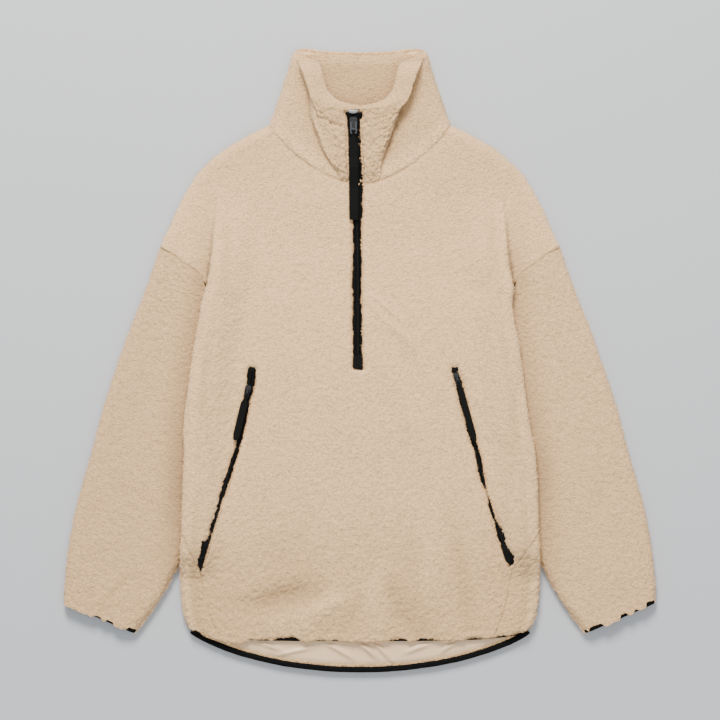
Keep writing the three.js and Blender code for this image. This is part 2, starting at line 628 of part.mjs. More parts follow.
// Hem bindings, which wrap the cut edges
function bindingAlong(curve, half, count, wide, low, high) {
  const sections = range(count).map((i) => {
    const x = lerp(-half, half, i / (count - 1));
    const step = 1;
    const slope = (curve(x + step) - curve(x - step)) / (2 * step);
    const long = Math.hypot(1, slope);
    const [nx, ny] = [slope / long, -1 / long];
    const [y, middle, tall] = [curve(x), (low + high) / 2, (high - low) / 2];
    return range(8).map((k) => {
      const a = ((k + 0.5) / 8) * Math.PI * 2;
      const square = 1 / Math.max(Math.abs(Math.cos(a)), Math.abs(Math.sin(a)));
      const grow = lerp(1, square, 0.6);
      const across = (wide / 2) * (clamp(grow * Math.cos(a), -1, 1) - 1);
      return [x - nx * -across, y - ny * -across, middle + tall * clamp(grow * Math.sin(a), -1, 1)];
    });
  });
  return bar(sections);
}
add('back_hem_binding', bindingAlong(backHem, 204, 31, BACK_BINDING - 0.4, 0, 7.4), blackTape);
add('front_hem_binding', bindingAlong(frontHem, 203, 25, FRONT_BINDING - 0.4, 9.6, 14.4), blackTape);

// Lining, where it shows inside the back between the two hems
const LINING_ROWS = 7;
const LINING_COLUMNS = 31;
function liningGrid(lift) {
  return range(LINING_ROWS).map((i) =>
    range(LINING_COLUMNS).map((j) => {
      const x = lerp(-188, 188, j / (LINING_COLUMNS - 1));
      const low = backHem(x) + BACK_BINDING + 5;
      const y = lerp(Math.min(-318, low + 44), low, i / (LINING_ROWS - 1));
      const shown = smooth((frontHem(x) - 1 - y) / 8);
      return [x, y, 7.45 + lift + (lift ? shown * Math.max(0, ridges(LINING_FOLDS, x, y)) : 0)];
    }),
  );
}
add('back_lining', wall(liningGrid(1.1), liningGrid(0)), liningCloth);

// Zips
const zipSurface = (y) => {
  const seam = neckY(zipX(y));
  if (y <= seam) return bodyTop(zipX(y), y);
  const h = clamp((y - seam) / (322 - seam), 0, 1);
  return lerp(bodyTop(0, seam), through(COLLAR_LEVELS, 'h', h, 'front'), smooth(h / 0.1));
};
// A tape with a raised coil along its middle, lying along a line of plan points.
function zipStrip(line, top, width, coil) {
  const sections = line.map(([x, y], i) => {
    const across = (offset) => beside(line, offset)[i];
    const z = top(x, y);
    const corner = (offset, height) => [...across(offset), z + height];
    const [w, c] = [width / 2, coil / 2];
    return [
      corner(-w, 0),
      corner(-c, 0),
      corner(-c * 0.7, 1.3),
      corner(c * 0.7, 1.3),
      corner(c, 0),
      corner(w, 0),
      corner(w, -1.6),
      corner(-w, -1.6),
    ];
  });
  const n = 8;
  const triangles = [];
  for (const i of range(sections.length - 1)) {
    for (const j of range(n)) {
      const [p, q] = [i * n + j, i * n + ((j + 1) % n)];
      triangles.push([p, q, q + n], [p, q + n, p + n]);
    }
  }
  // The end faces are split into convex pieces: the tape's two flanks and the coil.
  for (const [base, flip] of [[0, false], [(sections.length - 1) * n, true]]) {
    for (const [a, b, c] of [[0, 7, 1], [1, 7, 6], [1, 6, 4], [4, 6, 5], [1, 4, 3], [1, 3, 2]]) {
      triangles.push(flip ? [base + a, base + c, base + b] : [base + a, base + b, base + c]);
    }
  }
  return solid(sections.flat(), triangles);
}
const centreLine = zipLevels(ZIP_BOTTOM + 0.4, 319, 24).map((y) => [zipX(y), y]);
const centreTape = (x, y) => zipSurface(y) - TAPE_SINK;
const pocketTape = (x, y) => bodyTop(x, y) - TAPE_SINK;
add('centre_zip', zipStrip(centreLine, centreTape, ZIP_SLOT - 0.7, 5.5), blackTape);
for (const pocket of POCKETS) {
  const line = range(14).map((i) => pocketPoint(pocket, lerp(0.003, 0.997, i / 13)));
  add(`${pocket.name}_pocket_zip`, zipStrip(line, pocketTape, POCKET_SLOT - 0.7, 4.4), blackTape);
}

// Height of the cloth already made, under a plan point.
const caster = new THREE.Raycaster();
const clothMeshes = [...group.children];
const lieOn = (x, y) => {
  caster.set(new THREE.Vector3(x, y, 100), new THREE.Vector3(0, 0, -1));
  return 100 - caster.intersectObjects(clothMeshes)[0].distance;
};

// Patches sewn over the foot of each zip: a flat strip along a line, lying on what is under it.
function patchAlong(line, widths) {
  const sections = line.map((point, i) => {
    const [left, right] = [beside(line, widths[i] / 2)[i], beside(line, -widths[i] / 2)[i]];
    const under = range(7).map((k) => lieOn(lerp(left[0], right[0], k / 6), lerp(left[1], right[1], k / 6)));
    const z = Math.max(...under) + 0.7;
    return [[...left, z], [...right, z], [...right, z + 0.8], [...point, z + 1.3], [...left, z + 0.8]];
  });
  return bar(sections);
}
const squarePatch = zipLevels(8.6, -9.8, 5).map((y) => [zipX(y), y]);
add('centre_zip_patch', patchAlong(squarePatch, squarePatch.map(() => 12)), blackTape);
for (const pocket of POCKETS) {
  const along = pocket.tack ?? [0.885, 0.91, 0.935, 0.96, 0.99].map((at) => pocketPoint(pocket, at));
  add(`${pocket.name}_pocket_bartack`, patchAlong(along, pocket.tackWidths), blackTape);
}

// Sliders, pulls and pullers. Each set is drawn about its hinge: X across, +Y up the zip.
const HINGE_LIFT = 4.5; // height of the hinge over the tape
const SLIDER_OUTLINE = [
  [-3.6, -7], [3.6, -7], [4.9, -1.5], [4.9, 4.6], [3.2, 6.8], [-3.2, 6.8], [-4.9, 4.6], [-4.9, -1.5],
];
const block = (x0, x1, y0, y1, z0, z1) =>
  toManifold(
    new THREE.BoxGeometry(x1 - x0, y1 - y0, z1 - z0).translate((x0 + x1) / 2, (y0 + y1) / 2, (z0 + z1) / 2),
  );
const plate = (shape, z0, z1) =>
  new THREE.ExtrudeGeometry(shape, { depth: z1 - z0, bevelEnabled: false, curveSegments: 4 }).translate(0, 0, z0);
const pointsShape = (points) => new THREE.Shape(points.map(([x, y]) => new THREE.Vector2(x, y)));

function sliderBody() {
  const body = toManifold(plate(pointsShape(SLIDER_OUTLINE), -4.2, -1.4));
  const channel = block(-3.5, 3.5, -9, 9, -5, -2.6);
  const arch = block(-1.2, 1.2, -5.4, 5.4, -1.6, 1.9).subtract(block(-2, 2, -3.9, 3.9, -1.4, 0.95));
  return toGeometry(body.subtract(channel).add(arch));
}
const PULL_END = -14.5;
function pullPlate() {
  const [w, r] = [4.3, 2.4];
  const shape = new THREE.Shape();
  shape.moveTo(-w + 1, 0.6);
  shape.lineTo(w - 1, 0.6);
  shape.lineTo(w, -0.4);
  shape.lineTo(w, PULL_END + r);
  shape.quadraticCurveTo(w, PULL_END, w - r, PULL_END);
  shape.lineTo(-w + r, PULL_END);
  shape.quadraticCurveTo(-w, PULL_END, -w, PULL_END + r);
  shape.lineTo(-w, -0.4);
  shape.lineTo(-w + 1, 0.6);
  const gap = (x, high, low) => new THREE.Path([
    new THREE.Vector2(-x, high),
    new THREE.Vector2(-x, low),
    new THREE.Vector2(x, low),
    new THREE.Vector2(x, high),
  ]);
  shape.holes.push(gap(1.9, -0.6, -7.2), gap(2.7, -9.4, -12.5));
  return plate(shape, -0.55, 0.55);
}
// The loop of the puller, through the pull's lower opening and round its end.
function pullerLoop(back, middle) {
  const path = [
    [back, middle + 0.4],
    [-15.2, 1.1],
    [-12, 1.1],
    [-10.9, 0.6],
    [-10.9, -0.6],
    [-12, -1.1],
    [-15.2, -1.1],
    [back, middle - 0.4],
  ];
  const edge = (offset) => beside(path, offset);
  const [out, inn] = [edge(0.28), edge(-0.28)];
  return bar(path.map((_, i) => [
    [-2, ...out[i]],
    [2, ...out[i]],
    [2, ...inn[i]],
    [-2, ...inn[i]],
  ]));
}
// The flat part of a puller, through heights of its underside over local Y.
function pullerStrip(stations, width, thick) {
  return bar(stations.map(({ y, z, share }) => {
    const w = (width / 2) * share;
    return [
      [-w, y, z],
      [w, y, z],
      [w, y, z + thick * 0.7],
      [w * 0.55, y, z + thick],
      [-w * 0.55, y, z + thick],
      [-w, y, z + thick * 0.7],
    ];
  }));
}
const taper = (u, tip) => Math.min(1, 0.42 + u * 7) * (1 - (1 - tip) * smooth((u - 0.9) / 0.1));

// A zip's moving set. hinge is its plan point, toward the plan point where the puller ends,
// and lean the direction of the zip under the slider.
function zipSet({ name, hinge, toward, lean, tape, size, width, thick, tip }) {
  const [x, y] = hinge;
  const slope = Math.atan2(tape(x, y + 5) - tape(x, y - 5), 10);
  const turned = (turn) =>
    new THREE.Matrix4()
      .makeTranslation(x, y, tape(x, y) + HINGE_LIFT * size)
      .multiply(new THREE.Matrix4().makeRotationZ(turn))
      .multiply(new THREE.Matrix4().makeRotationX(slope))
      .multiply(new THREE.Matrix4().makeScale(size, size, size));
  const turn = Math.atan2(toward[0] - x, y - toward[1]);
  const spin = new THREE.Matrix4().makeRotationZ(turn);
  const place = turned(turn);
  const back = place.clone().invert();
  const reach = Math.hypot(toward[0] - x, toward[1] - y);
  const stations = range(9).map((i) => {
    const u = i / 8;
    const along = lerp(15.4 * size, reach, u);
    const at = new THREE.Vector3(0, -along, 0).applyMatrix4(spin).add(new THREE.Vector3(x, y, 0));
    const near = [-6, 0, 6].flatMap((dx) => [-4, 0, 4].map((dy) => lieOn(at.x + dx, at.y + dy)));
    at.z = Math.max(...near) + 0.8;
    const local = at.applyMatrix4(back);
    const z = Math.max(local.z, lerp(-thick / 2, local.z, smooth(u * 4)));
    return { y: local.y, z, share: taper(u, tip) };
  });
  add(`${name}_slider`, sliderBody().applyMatrix4(turned(lean)), blackMetal);
  const pull = add(`${name}_pull`, pullPlate().applyMatrix4(place), gunmetal);
  pull.userData.hinge = new THREE.Vector3().setFromMatrixPosition(place).toArray();
  pull.userData.axis = [-Math.cos(turn), -Math.sin(turn), 0];
  const loop = toManifold(pullerLoop(-18, lerp(stations[0].z, stations[1].z, 0.2) + thick / 2));
  const strip = toManifold(pullerStrip(stations, width, thick));
  add(`${name}_puller`, toGeometry(strip.add(loop)).applyMatrix4(place), webbing);
}
// Direction of a line of plan points at a level, as a turn about Z of the way down it.
const leanOf = (pointAt, s) => {
  const [[ax, ay], [bx, by]] = [pointAt(s - 0.02), pointAt(s + 0.02)];
  return Math.atan2(bx - ax, ay - by);
};
zipSet({
  name: 'centre_zip',
  hinge: [-8.3, 303.5],
  toward: [-7.8, 181],
  lean: leanOf((s) => [zipX(303.5 - 100 * s), 303.5 - 100 * s], 0),
  tape: centreTape,
  size: 1,
  width: 12,
  thick: 1.7,
  tip: 0.94,
});
const PULLERS = [
  { at: 0.1, toward: [-159.4, -101], width: 11.5 },
  { at: 0.038, toward: [146.6, -102], width: 11 },
];
for (const [i, pocket] of POCKETS.entries()) {
  const { at, toward, width } = PULLERS[i];
  zipSet({
    name: `${pocket.name}_pocket_zip`,
    hinge: pocketPoint(pocket, at),
    toward,
    lean: leanOf((s) => pocketPoint(pocket, s), at),
    tape: pocketTape,
    size: 0.78,
    width,
    thick: 1.9,
    tip: 0.6,
  });
}

// The origin is the middle of the garment's box, on the surface it lies on.
const extent = new THREE.Box3().setFromObject(group, true);
const middle = extent.getCenter(new THREE.Vector3());
for (const mesh of group.children) {
  mesh.geometry.translate(-middle.x, -middle.y, -extent.min.z);
  if (mesh.userData.hinge) {
    const [x, y, z] = mesh.userData.hinge;
    mesh.userData.hinge = [x - middle.x, y - middle.y, z - extent.min.z];
  }
}

export default group;
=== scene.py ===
"""A half-zip sherpa fleece pullover, laid flat on its back and seen from straight above.

Sizes are in millimetres, as a pattern cutter would note them, and turn into metres only when a
mesh is made. +X runs across the garment, +Y from hem to collar and +Z up from the surface.
"""

from __future__ import annotations

import logging
import math
from dataclasses import dataclass, field
from enum import Enum
from typing import Callable, Sequence

import bpy
import numpy as np
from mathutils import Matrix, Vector

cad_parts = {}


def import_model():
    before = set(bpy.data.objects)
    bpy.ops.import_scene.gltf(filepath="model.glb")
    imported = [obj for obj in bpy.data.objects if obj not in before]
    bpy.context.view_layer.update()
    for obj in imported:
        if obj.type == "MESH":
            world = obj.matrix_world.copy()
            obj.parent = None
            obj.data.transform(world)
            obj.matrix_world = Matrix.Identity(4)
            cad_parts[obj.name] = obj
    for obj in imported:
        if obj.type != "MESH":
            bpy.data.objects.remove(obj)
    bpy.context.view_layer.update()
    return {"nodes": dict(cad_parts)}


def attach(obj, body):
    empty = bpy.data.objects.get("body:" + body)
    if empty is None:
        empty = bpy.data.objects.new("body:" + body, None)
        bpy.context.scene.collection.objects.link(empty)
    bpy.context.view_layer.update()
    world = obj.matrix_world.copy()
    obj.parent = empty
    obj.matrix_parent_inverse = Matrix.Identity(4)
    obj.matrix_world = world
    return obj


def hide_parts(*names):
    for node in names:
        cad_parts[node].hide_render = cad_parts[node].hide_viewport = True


LOG = logging.getLogger("pullover")
Array = np.ndarray
Colour = tuple[float, float, float, float]
MM = 0.001
FAR = 99.0


def clamp(value: Array, low: float = 0.0, high: float = 1.0) -> Array:
    """Holds values between two limits."""
    return np.minimum(high, np.maximum(low, value))


def smooth(t: Array) -> Array:
    """Eases from 0 to 1."""
    t = clamp(t)
    return t * t * (3 - 2 * t)


def lerp(a: Array, b: Array, t: Array) -> Array:
    """Mixes two values."""
    return a + (b - a) * t


def rounded(distance: Array, roll: Array) -> Array:
    """Height share of a rounded edge, 0 at the fold and 1 once the distance reaches the roll."""
    return np.sqrt(1 - (1 - clamp(distance / roll)) ** 2)


def rows(x: Array, y: Array = 0.0, z: Array = 0.0) -> Array:
    """Points, one row each, from coordinates that are numbers or arrays."""
    return np.stack([part.ravel() for part in np.broadcast_arrays(x, y, z)], axis=1)


def lengths(path: Array) -> Array:
    """Running length along a path at each of its points."""
    return np.concatenate([[0], np.cumsum(np.linalg.norm(np.diff(path, axis=0), axis=1))])


class Table:
    """A short table of sizes with smooth curves through its columns."""

    def __init__(self, columns: str, sizes: Sequence[Sequence[float]]) -> None:
        """Keeps the column names and the sizes, whose first column rises."""
        self.names = columns.split()
        self.values = np.array(sizes, float)

    def column(self, name: str) -> Array:
        """One column as it was given."""
        return self.values[:, self.names.index(name)]

    def at(self, where: Array, name: str) -> Array:
        """Reads one column along the first.

        Args:
            where: values of the first column.
            name: the column to read.

        Returns:
            The column's value at each place.
        """
        keys, vals = self.values[:, 0], self.column(name)
        slopes = np.empty_like(vals)
        slopes[1:-1] = (vals[2:] - vals[:-2]) / (keys[2:] - keys[:-2])
        slopes[0] = (vals[1] - vals[0]) / (keys[1] - keys[0])
        slopes[-1] = (vals[-1] - vals[-2]) / (keys[-1] - keys[-2])
        v = np.clip(np.asarray(where, float), keys[0], keys[-1])
        i = np.clip(np.searchsorted(keys, v, side="right") - 1, 0, len(keys) - 2)
        span = keys[i + 1] - keys[i]
        t = (v - keys[i]) / span
        t2, t3 = t * t, t * t * t
        return (
            (2 * t3 - 3 * t2 + 1) * vals[i]
            + (t3 - 2 * t2 + t) * slopes[i] * span
            + (3 * t2 - 2 * t3) * vals[i + 1]
            + (t3 - t2) * slopes[i + 1] * span
        )


class Grain:
    """Seeded numpy noise, the same on every run."""

    @staticmethod
    def _hash(cell: Array, seed: int) -> Array:
        """Scatters whole-number cells.

        Args:
            cell: three whole numbers in the last dimension.
            seed: a whole number.

        Returns:
            A number from 0 to 1 for each cell.
        """
        c = cell.astype(np.int64)
        h = c[..., 0] * 73856093 ^ c[..., 1] * 19349663 ^ c[..., 2] * 83492791
        h = (h ^ (seed * 2654435761)) & 0xFFFFFFFF
        h = ((h ^ (h >> 15)) * 2246822519) & 0xFFFFFFFF
        h = ((h ^ (h >> 13)) * 3266489917) & 0xFFFFFFFF
        return ((h ^ (h >> 16)) & 0xFFFFFF) / float(0xFFFFFF)

    @classmethod
    def cloud(cls, points: Array, size: float, seed: int = 1) -> Array:
        """Smooth noise from -1 to 1.

        Args:
            points: places in millimetres, one row each.
            size: width of a lump in millimetres.
            seed: a whole number.

        Returns:
            One value for each point.
        """
        p = points / size
        base = np.floor(p)
        f = p - base
        f = f * f * (3 - 2 * f)
        total = np.zeros(len(points))
        for corner in range(8):
            step = np.array([corner & 1, corner >> 1 & 1, corner >> 2 & 1])
            weight = np.prod(np.where(step, f, 1 - f), axis=1)
            total += weight * cls._hash(base + step, seed)
        return total * 2 - 1

    @classmethod
    def curls(cls, points: Array, size: float, seed: int = 1) -> Array:
        """Heights of tight rounded curls, 0 in the crevices and 1 on the crowns.

        Args:
            points: places in millimetres, one row each.
            size: distance between curls in millimetres.
            seed: a whole number.

        Returns:
            One height for each point.
        """
        warp = np.stack(
            [cls.cloud(points, size * 1.7, seed + k) for k in (11, 23, 37)], axis=1
        )
        p = points / size + warp * 0.55
        base = np.floor(p)
        near = np.full(len(points), 9.0)
        for index in range(27):
            step = np.array([index % 3 - 1, index // 3 % 3 - 1, index // 9 - 1])
            cell = base + step
            jitter = np.stack([cls._hash(cell, seed + k) for k in (1, 2, 3)], axis=1)
            near = np.minimum(near, ((cell + jitter - p) ** 2).sum(axis=1))
        return 1 - smooth(np.sqrt(near) / 0.95)


@dataclass(frozen=True)
class Ridge:
    """A soft fold: middle, length, half width, turn from +X in degrees, and height."""

    x: float
    y: float
    length: float
    wide: float
    turn: float
    high: float

    def height(self, x: Array, y: Array) -> Array:
        """Height of the fold over plan points.

        Args:
            x: places across.
            y: levels.

        Returns:
            The height at each point.
        """
        a = math.radians(self.turn)
        dx, dy = x - self.x, y - self.y
        along = (dx * math.cos(a) + dy * math.sin(a)) / (self.length / 2)
        across = (dy * math.cos(a) - dx * math.sin(a)) / self.wide
        return self.high * np.exp(-(across**2)) * np.exp(-(along**4))


@dataclass(frozen=True)
class Pocket:
    """The line of a slanted pocket zip, from its top to its foot."""

    name: str
    top_x: float
    top_y: float
    low_x: float
    low_y: float
    bow: float
    slot: Table

    def point(self, s: Array) -> Array:
        """Follows the zip.

        Args:
            s: shares of its length, 0 at the top.

        Returns:
            Plan points, one row each.
        """
        s = s[:, None]
        run = np.array([self.low_x - self.top_x, self.low_y - self.top_y])
        side = np.array([-run[1], run[0]]) / np.hypot(*run)
        return np.array([self.top_x, self.top_y]) + s * run + side * (self.bow * 4 * s * (1 - s))

    @property
    def side(self) -> int:
        """-1 for the wearer's right pocket and 1 for the left."""
        return -1 if self.top_x < 0 else 1


def beside(line: Array, offset: float | Array) -> Array:
    """Moves a plan line sideways.

    Args:
        line: plan points, one row each.
        offset: how far to the left of the line's direction, once or for each point.

    Returns:
        The moved points.
    """
    offset = np.reshape(offset, (-1, 1))
    ahead = np.vstack([line[1:], line[-1:]]) - np.vstack([line[:1], line[:-1]])
    ahead /= np.linalg.norm(ahead, axis=1, keepdims=True)
    return line + np.stack([-ahead[:, 1], ahead[:, 0]], axis=1) * offset


@dataclass(frozen=True)
class Cut:
    """The garment's cut and how it lies: every surface follows from these sizes."""

    body_height: float = 16
    sleeve_height: float = 15
    side_lift: float = 15.8
    lift_reach: float = 45
    lift_ramp: float = 25
    rise_reach: float = 62
    rise_ramp: float = 42
    neck_half: float = 116
    neck_top: float = 303
    neck_depth: float = 77
    neck_rise: float = 7
    neck_rise_reach: float = 95
    back_neck_drop: float = 11
    hem_side: float = -346
    hem_half: float = 219
    front_hem_drop: float = 12
    back_hem_drop: float = 52
    front_binding: float = 5
    back_binding: float = 6.7
    cuff_binding: float = 4
    tape_sink: float = 2.5
    zip_bottom: float = -11
    armhole_low: float = 97
    armhole_high: float = 147
    waist_sway: float = 4.5
    sides_from: float = -285
    seam_end: float = 303.5
    body: Table = Table(
        "y half roll",
        [
            (-346, 219, 11), (-331, 225.5, 12), (-292, 230, 12), (-254, 230, 12),
            (-216, 228, 12), (-150, 226, 12), (-88, 221.5, 12), (-36, 215, 12),
            (15, 208, 12), (60, 200, 11), (96, 196.5, 11),
        ],
    )
    shoulder: Table = Table(
        "y half roll",
        [
            (97, 274, 12), (117, 266, 12), (147, 256, 12), (170, 245, 12), (194, 235, 13),
            (220, 221, 15), (245, 204, 19), (271, 174, 25), (289, 144, 28), (302, 118, 28),
        ],
    )
    armhole: Table = Table(
        "y x",
        [(97, 197), (106, 201), (118, 213), (130, 230), (139, 242), (147, 256)],
    )
    crease: Table = Table(
        "y x share",
        [
            (97, 196.5, 1), (125, 191.5, 0.85), (160, 188, 0.5), (200, 184, 0.12),
            (235, 180, 0), (302, 104, 0),
        ],
    )
    sleeve: Table = Table(
        "s out_x out_y in_x in_y",
        [
            (0, 256, 147, 197, 97), (1, 267, 114, 184, 70), (2, 281, 76, 186, 42),
            (3, 297, 36, 190, 8), (4, 313, -10, 196, -34), (5, 328, -56, 202, -78),
            (6, 341, -105, 207, -126), (7, 354.5, -153, 211, -172),
            (8, 366.5, -199, 217.5, -216), (9, 374, -243, 232, -258),
            (10, 378, -279, 256, -303), (11, 380, -309, 288, -349),
        ],
    )
    zip_line: Table = Table(
        "y x", [(-11, -2.3), (99, -2.7), (179, -3.8), (271, -7), (326, -9)]
    )
    slot: Table = Table(
        "y left right",
        [
            (-11, -9.8, 4.4), (4, -9.8, 3.6), (25, -9.6, 3.3), (50, -10.1, 3.5), (76, -10.1, 2.2),
            (104, -10.6, 2.4), (127, -10.0, 3.1), (148, -9.5, 1.8), (177, -9.8, 2.7), (190, -10.3, 3.5),
            (210, -11.4, 4.2), (226, -12.6, 4.3), (248, -14.6, 2.9), (262, -15.3, 2.2), (280, -15.8, 1.5),
            (296, -16.2, 0.6), (305, -17.1, 0.7), (312, -17.9, 2.3), (330, -17.9, 2.3),
        ],
    )
    pockets: tuple[Pocket, ...] = (
        Pocket(
            "right", -139, -10, -203, -264, 4.5,
            Table(
                "s left right",
                [
                    (-0.012, -3.4, 4.6), (0.03, -4.8, 7.0), (0.06, -3.8, 7.9), (0.09, -2.4, 7.8),
                    (0.12, -2.4, 7.9), (0.15, -1.6, 6.5), (0.18, -1.2, 7.0), (0.24, -2.2, 6.9),
                    (0.33, -2.2, 6.9), (0.36, -0.8, 6.2), (0.42, -1, 5.8), (0.45, -2, 4.8),
                    (0.51, -2.8, 4.5), (0.56, -4.2, 3.5), (0.62, -4, 2.8), (0.65, -4, 1.2),
                    (0.71, -2.8, 1.0), (0.77, -4.2, 0.6), (0.83, -3.4, 0.4), (0.9, -5.4, 1.2),
                    (0.95, -5.8, 1.2), (1, -4.8, 1.2),
                ],
            ),
        ),
        Pocket(
            "left", 121.5, -10, 192.5, -262, -3,
            Table(
                "s left right",
                [
                    (-0.012, -2.8, 4.0), (0.03, -5.2, 4.6), (0.06, -4.5, 5.6), (0.12, -3.8, 5.8),
                    (0.18, -4.6, 5.6), (0.24, -3.2, 4.8), (0.30, -4, 5.6), (0.36, -3.5, 4.2),
                    (0.42, -1.8, 5.5), (0.48, -3.5, 4.8), (0.53, -4.5, 3), (0.56, -4, 2),
                    (0.59, -3.2, 1), (0.61, -1.9, -0.9), (0.635, -1.7, -0.8), (0.65, -1.5, 0.2),
                    (0.68, -3.5, 0.8), (0.74, -3.5, 1.2), (0.80, -3.8, 3), (0.86, -4.5, 3.8),
                    (0.89, -2.8, 2.5), (0.92, -2.2, 4.8), (0.95, -1.2, 7.4), (1, -1.2, 5.5),
                ],
            ),
        ),
    )
    folds: tuple[Ridge, ...] = (
        Ridge(32, 54, 86, 5, -44, 2.2),
        Ridge(-96, -302, 90, 15, 14, -2.6),
        Ridge(-62, -322, 110, 12, 20, 2.4),
        Ridge(20, -292, 80, 14, 66, 2.2),
        Ridge(52, -318, 90, 11, 118, -2.2),
        Ridge(96, -230, 190, 15, 82, 2.4),
        Ridge(132, -282, 130, 10, 98, -2),
        Ridge(-196, -60, 240, 7, 97, -1.6),
        Ridge(196, -96, 260, 8, 82, -1.8),
        Ridge(-172, 128, 130, 8, 96, -1.8),
        Ridge(166, 120, 130, 9, 84, -1.6),
        Ridge(60, -66, 120, 16, 118, 1.8),
    )
    creases: tuple[Ridge, ...] = (
        Ridge(29, 73, 56, 3.4, -39, 1.5),
        Ridge(67, 20, 84, 4.2, -65, 1.3),
        Ridge(21, 64, 52, 5, -39, -1.3),
        Ridge(56, 10, 70, 6, -65, -0.9),
        Ridge(-113, -304, 84, 11, 17, -1.8),
        Ridge(-9, -326, 60, 13, 60, -2.0),
        Ridge(78, -328, 60, 12, 110, -1.8),
        Ridge(-55, -326, 90, 11, 45, 1.5),
        Ridge(28, -325, 80, 11, 75, 1.4),
        Ridge(-150, -130, 150, 12, 80, 0.9),
        Ridge(146, -180, 160, 13, 96, 0.9),
    )
    hem_tufts: Table = Table(
        "x cover",
        [
            (-219, 2.2), (-208, 2.6), (-199, 6), (-190, 8), (-172, 10), (-156, 12), (-148, 9),
            (-140, 4.8), (-132, 4.6), (-116, 3.2), (-104, 1.2), (-84, 0.4),
            (-77, 3.6), (-70, 7), (-62, 5), (-48, 3.2), (-41, 6), (-33, 3.4), (-24, 6.4), (0, 7),
            (28, 6.6), (42, 3), (56, 3), (66, 6.4), (80, 4), (94, 2.8), (106, 5.6), (130, 5.2),
            (150, 3.4), (160, 4.4), (180, 3), (190, 4.4), (208, 2.6), (219, 1.6),
        ],
    )

    def hem_cover(self, x: Array) -> Array:
        """Lets the front's pile hang over its hem binding.

        Args:
            x: places across.

        Returns:
            How far it hangs at each place.
        """
        flat = rows(x)
        stray = Grain.cloud(flat, 4.2, 61) * 0.8 + Grain.cloud(flat, 13, 62) * 0.5
        return self.hem_tufts.at(x, "cover") + stray.reshape(np.shape(x))

    def hem_edge(self, x: Array) -> Array:
        """Level where the front's pile ends."""
        return self.front_hem(x) + self.front_binding + 0.3 - self.hem_cover(x)

    def hem_bend(self, y: Array) -> Array:
        """How far a row follows the hem's curve in place of a straight line."""
        return (1 - smooth((y - self.hem_side) / 150)) ** 1.2

    def drape(self, x: Array, y: Array) -> Array:
        """Slow unevenness of cloth that lies loosely.

        Args:
            x: places across.
            y: levels.

        Returns:
            The height that it adds at each point.
        """
        x, y = np.broadcast_arrays(x, y)
        slow = Grain.cloud(rows(x, y * 0.6), 95, 101) * 0.9
        slow += Grain.cloud(rows(x + y * 0.25, y * 0.22), 34, 102) * 0.55
        return slow.reshape(x.shape) * (0.6 + 0.7 * smooth((-120 - y) / 160))

    def neck_y(self, x: Array) -> Array:
        """Level of the front neck seam."""
        u = clamp(np.abs(x) / self.neck_half)
        return self.neck_top - self.neck_depth * (1 - u**1.7) ** (1 / 1.2)

    def back_neck_y(self, x: Array) -> Array:
        """Level of the back neck seam."""
        return self.neck_top - self.back_neck_drop * (1 - (x / self.neck_half) ** 2)

    def front_hem(self, x: Array) -> Array:
        """Level of the front hem's lower edge."""
        u = clamp(np.abs(x) / self.hem_half)
        return self.hem_side - self.front_hem_drop * (1 - u**5)

    def back_hem(self, x: Array) -> Array:
        """Level of the back hem's lower edge."""
        u = clamp(np.abs(x) / self.hem_half)
        return self.hem_side - self.back_hem_drop * (1 - u**2.05) ** 0.8

    def zip_x(self, y: Array) -> Array:
        """Place of the centre zip at a level."""
        return self.zip_line.at(y, "x")

    def fold_x(self, y: Array) -> Array:
        """The body's side fold, and the chest's crease above it."""
        low = y < self.armhole_low
        return np.where(low, self.body.at(y, "half"), self.crease.at(y, "x"))

    def sway(self, y: Array) -> Array:
        """How far the waist's two side folds lie towards the right sleeve, below 0."""
        return -self.waist_sway * smooth((y + 130) / 60) * (1 - smooth((y - 70) / 27))

    def arm_x(self, y: Array) -> Array:
        """Place of the armhole seam at a level, straying a little as pile does."""
        return self.armhole.at(y, "x") + 1.2 * Grain.cloud(rows(y), 8, 52).reshape(np.shape(y))

    def _over_sleeve(self, x: Array, y: Array, reach: float, ramp: float) -> Array:
        """Lifts the cloth towards the fold and drops it beyond.

        Args:
            x: places across.
            y: levels.
            reach: how far inside the fold the lift starts.
            ramp: how far it takes to grow.

        Returns:
            The share of the lift at each point.
        """
        edge = self.fold_x(y)
        out = np.abs(x - self.sway(y))
        inside = smooth((out - (edge - reach)) / ramp)
        beyond = 1 - rounded(edge + 2.5 - out, 9.0)
        return inside * (1 - beyond * smooth((y - self.armhole_low) / 8))

    def crease_share(self, y: Array, below: Array = 1.0) -> Array:
        """How deep the chest's crease is at a level, or the share below the armhole."""
        return np.where(y < self.armhole_low, below, self.crease.at(y, "share"))

    def fold_painted_shade(self, x: Array, y: Array) -> Array:
        """Paints shade on the cloth that lies just outside the body's side fold.

        Args:
            x: places across.
            y: levels.

        Returns:
            The painted shade at each point, from 0.
        """
        past = np.abs(x - self.sway(y)) - self.fold_x(y)
        near = 1.15 * (1 - smooth(past / 3)) + 0.75 * (1 - smooth(past / 38))
        lower = 0.75 + 0.45 * np.exp(-(((y + 150) / 60) ** 2))
        share = self.crease_share(y, smooth((y + 335) / 60) * lower)
        return np.where(past > -1, near * share, 0)

    def fold_painted_light_and_shade(self, x: Array, y: Array) -> Array:
        """Paints light on the inside of the body's side fold and shade in its furrow.

        Args:
            x: places across.
            y: levels.

        Returns:
            The painted shade at each point, below 0 where light is painted.
        """
        inside = self.fold_x(y) - np.abs(x - self.sway(y))
        band = (1 - smooth((inside - 7) / 8)) * (inside > 0)
        furrow = 0.22 * np.exp(-(((inside - 19) / 5.5) ** 2))
        return (furrow - 0.55 * band) * self.crease_share(y)

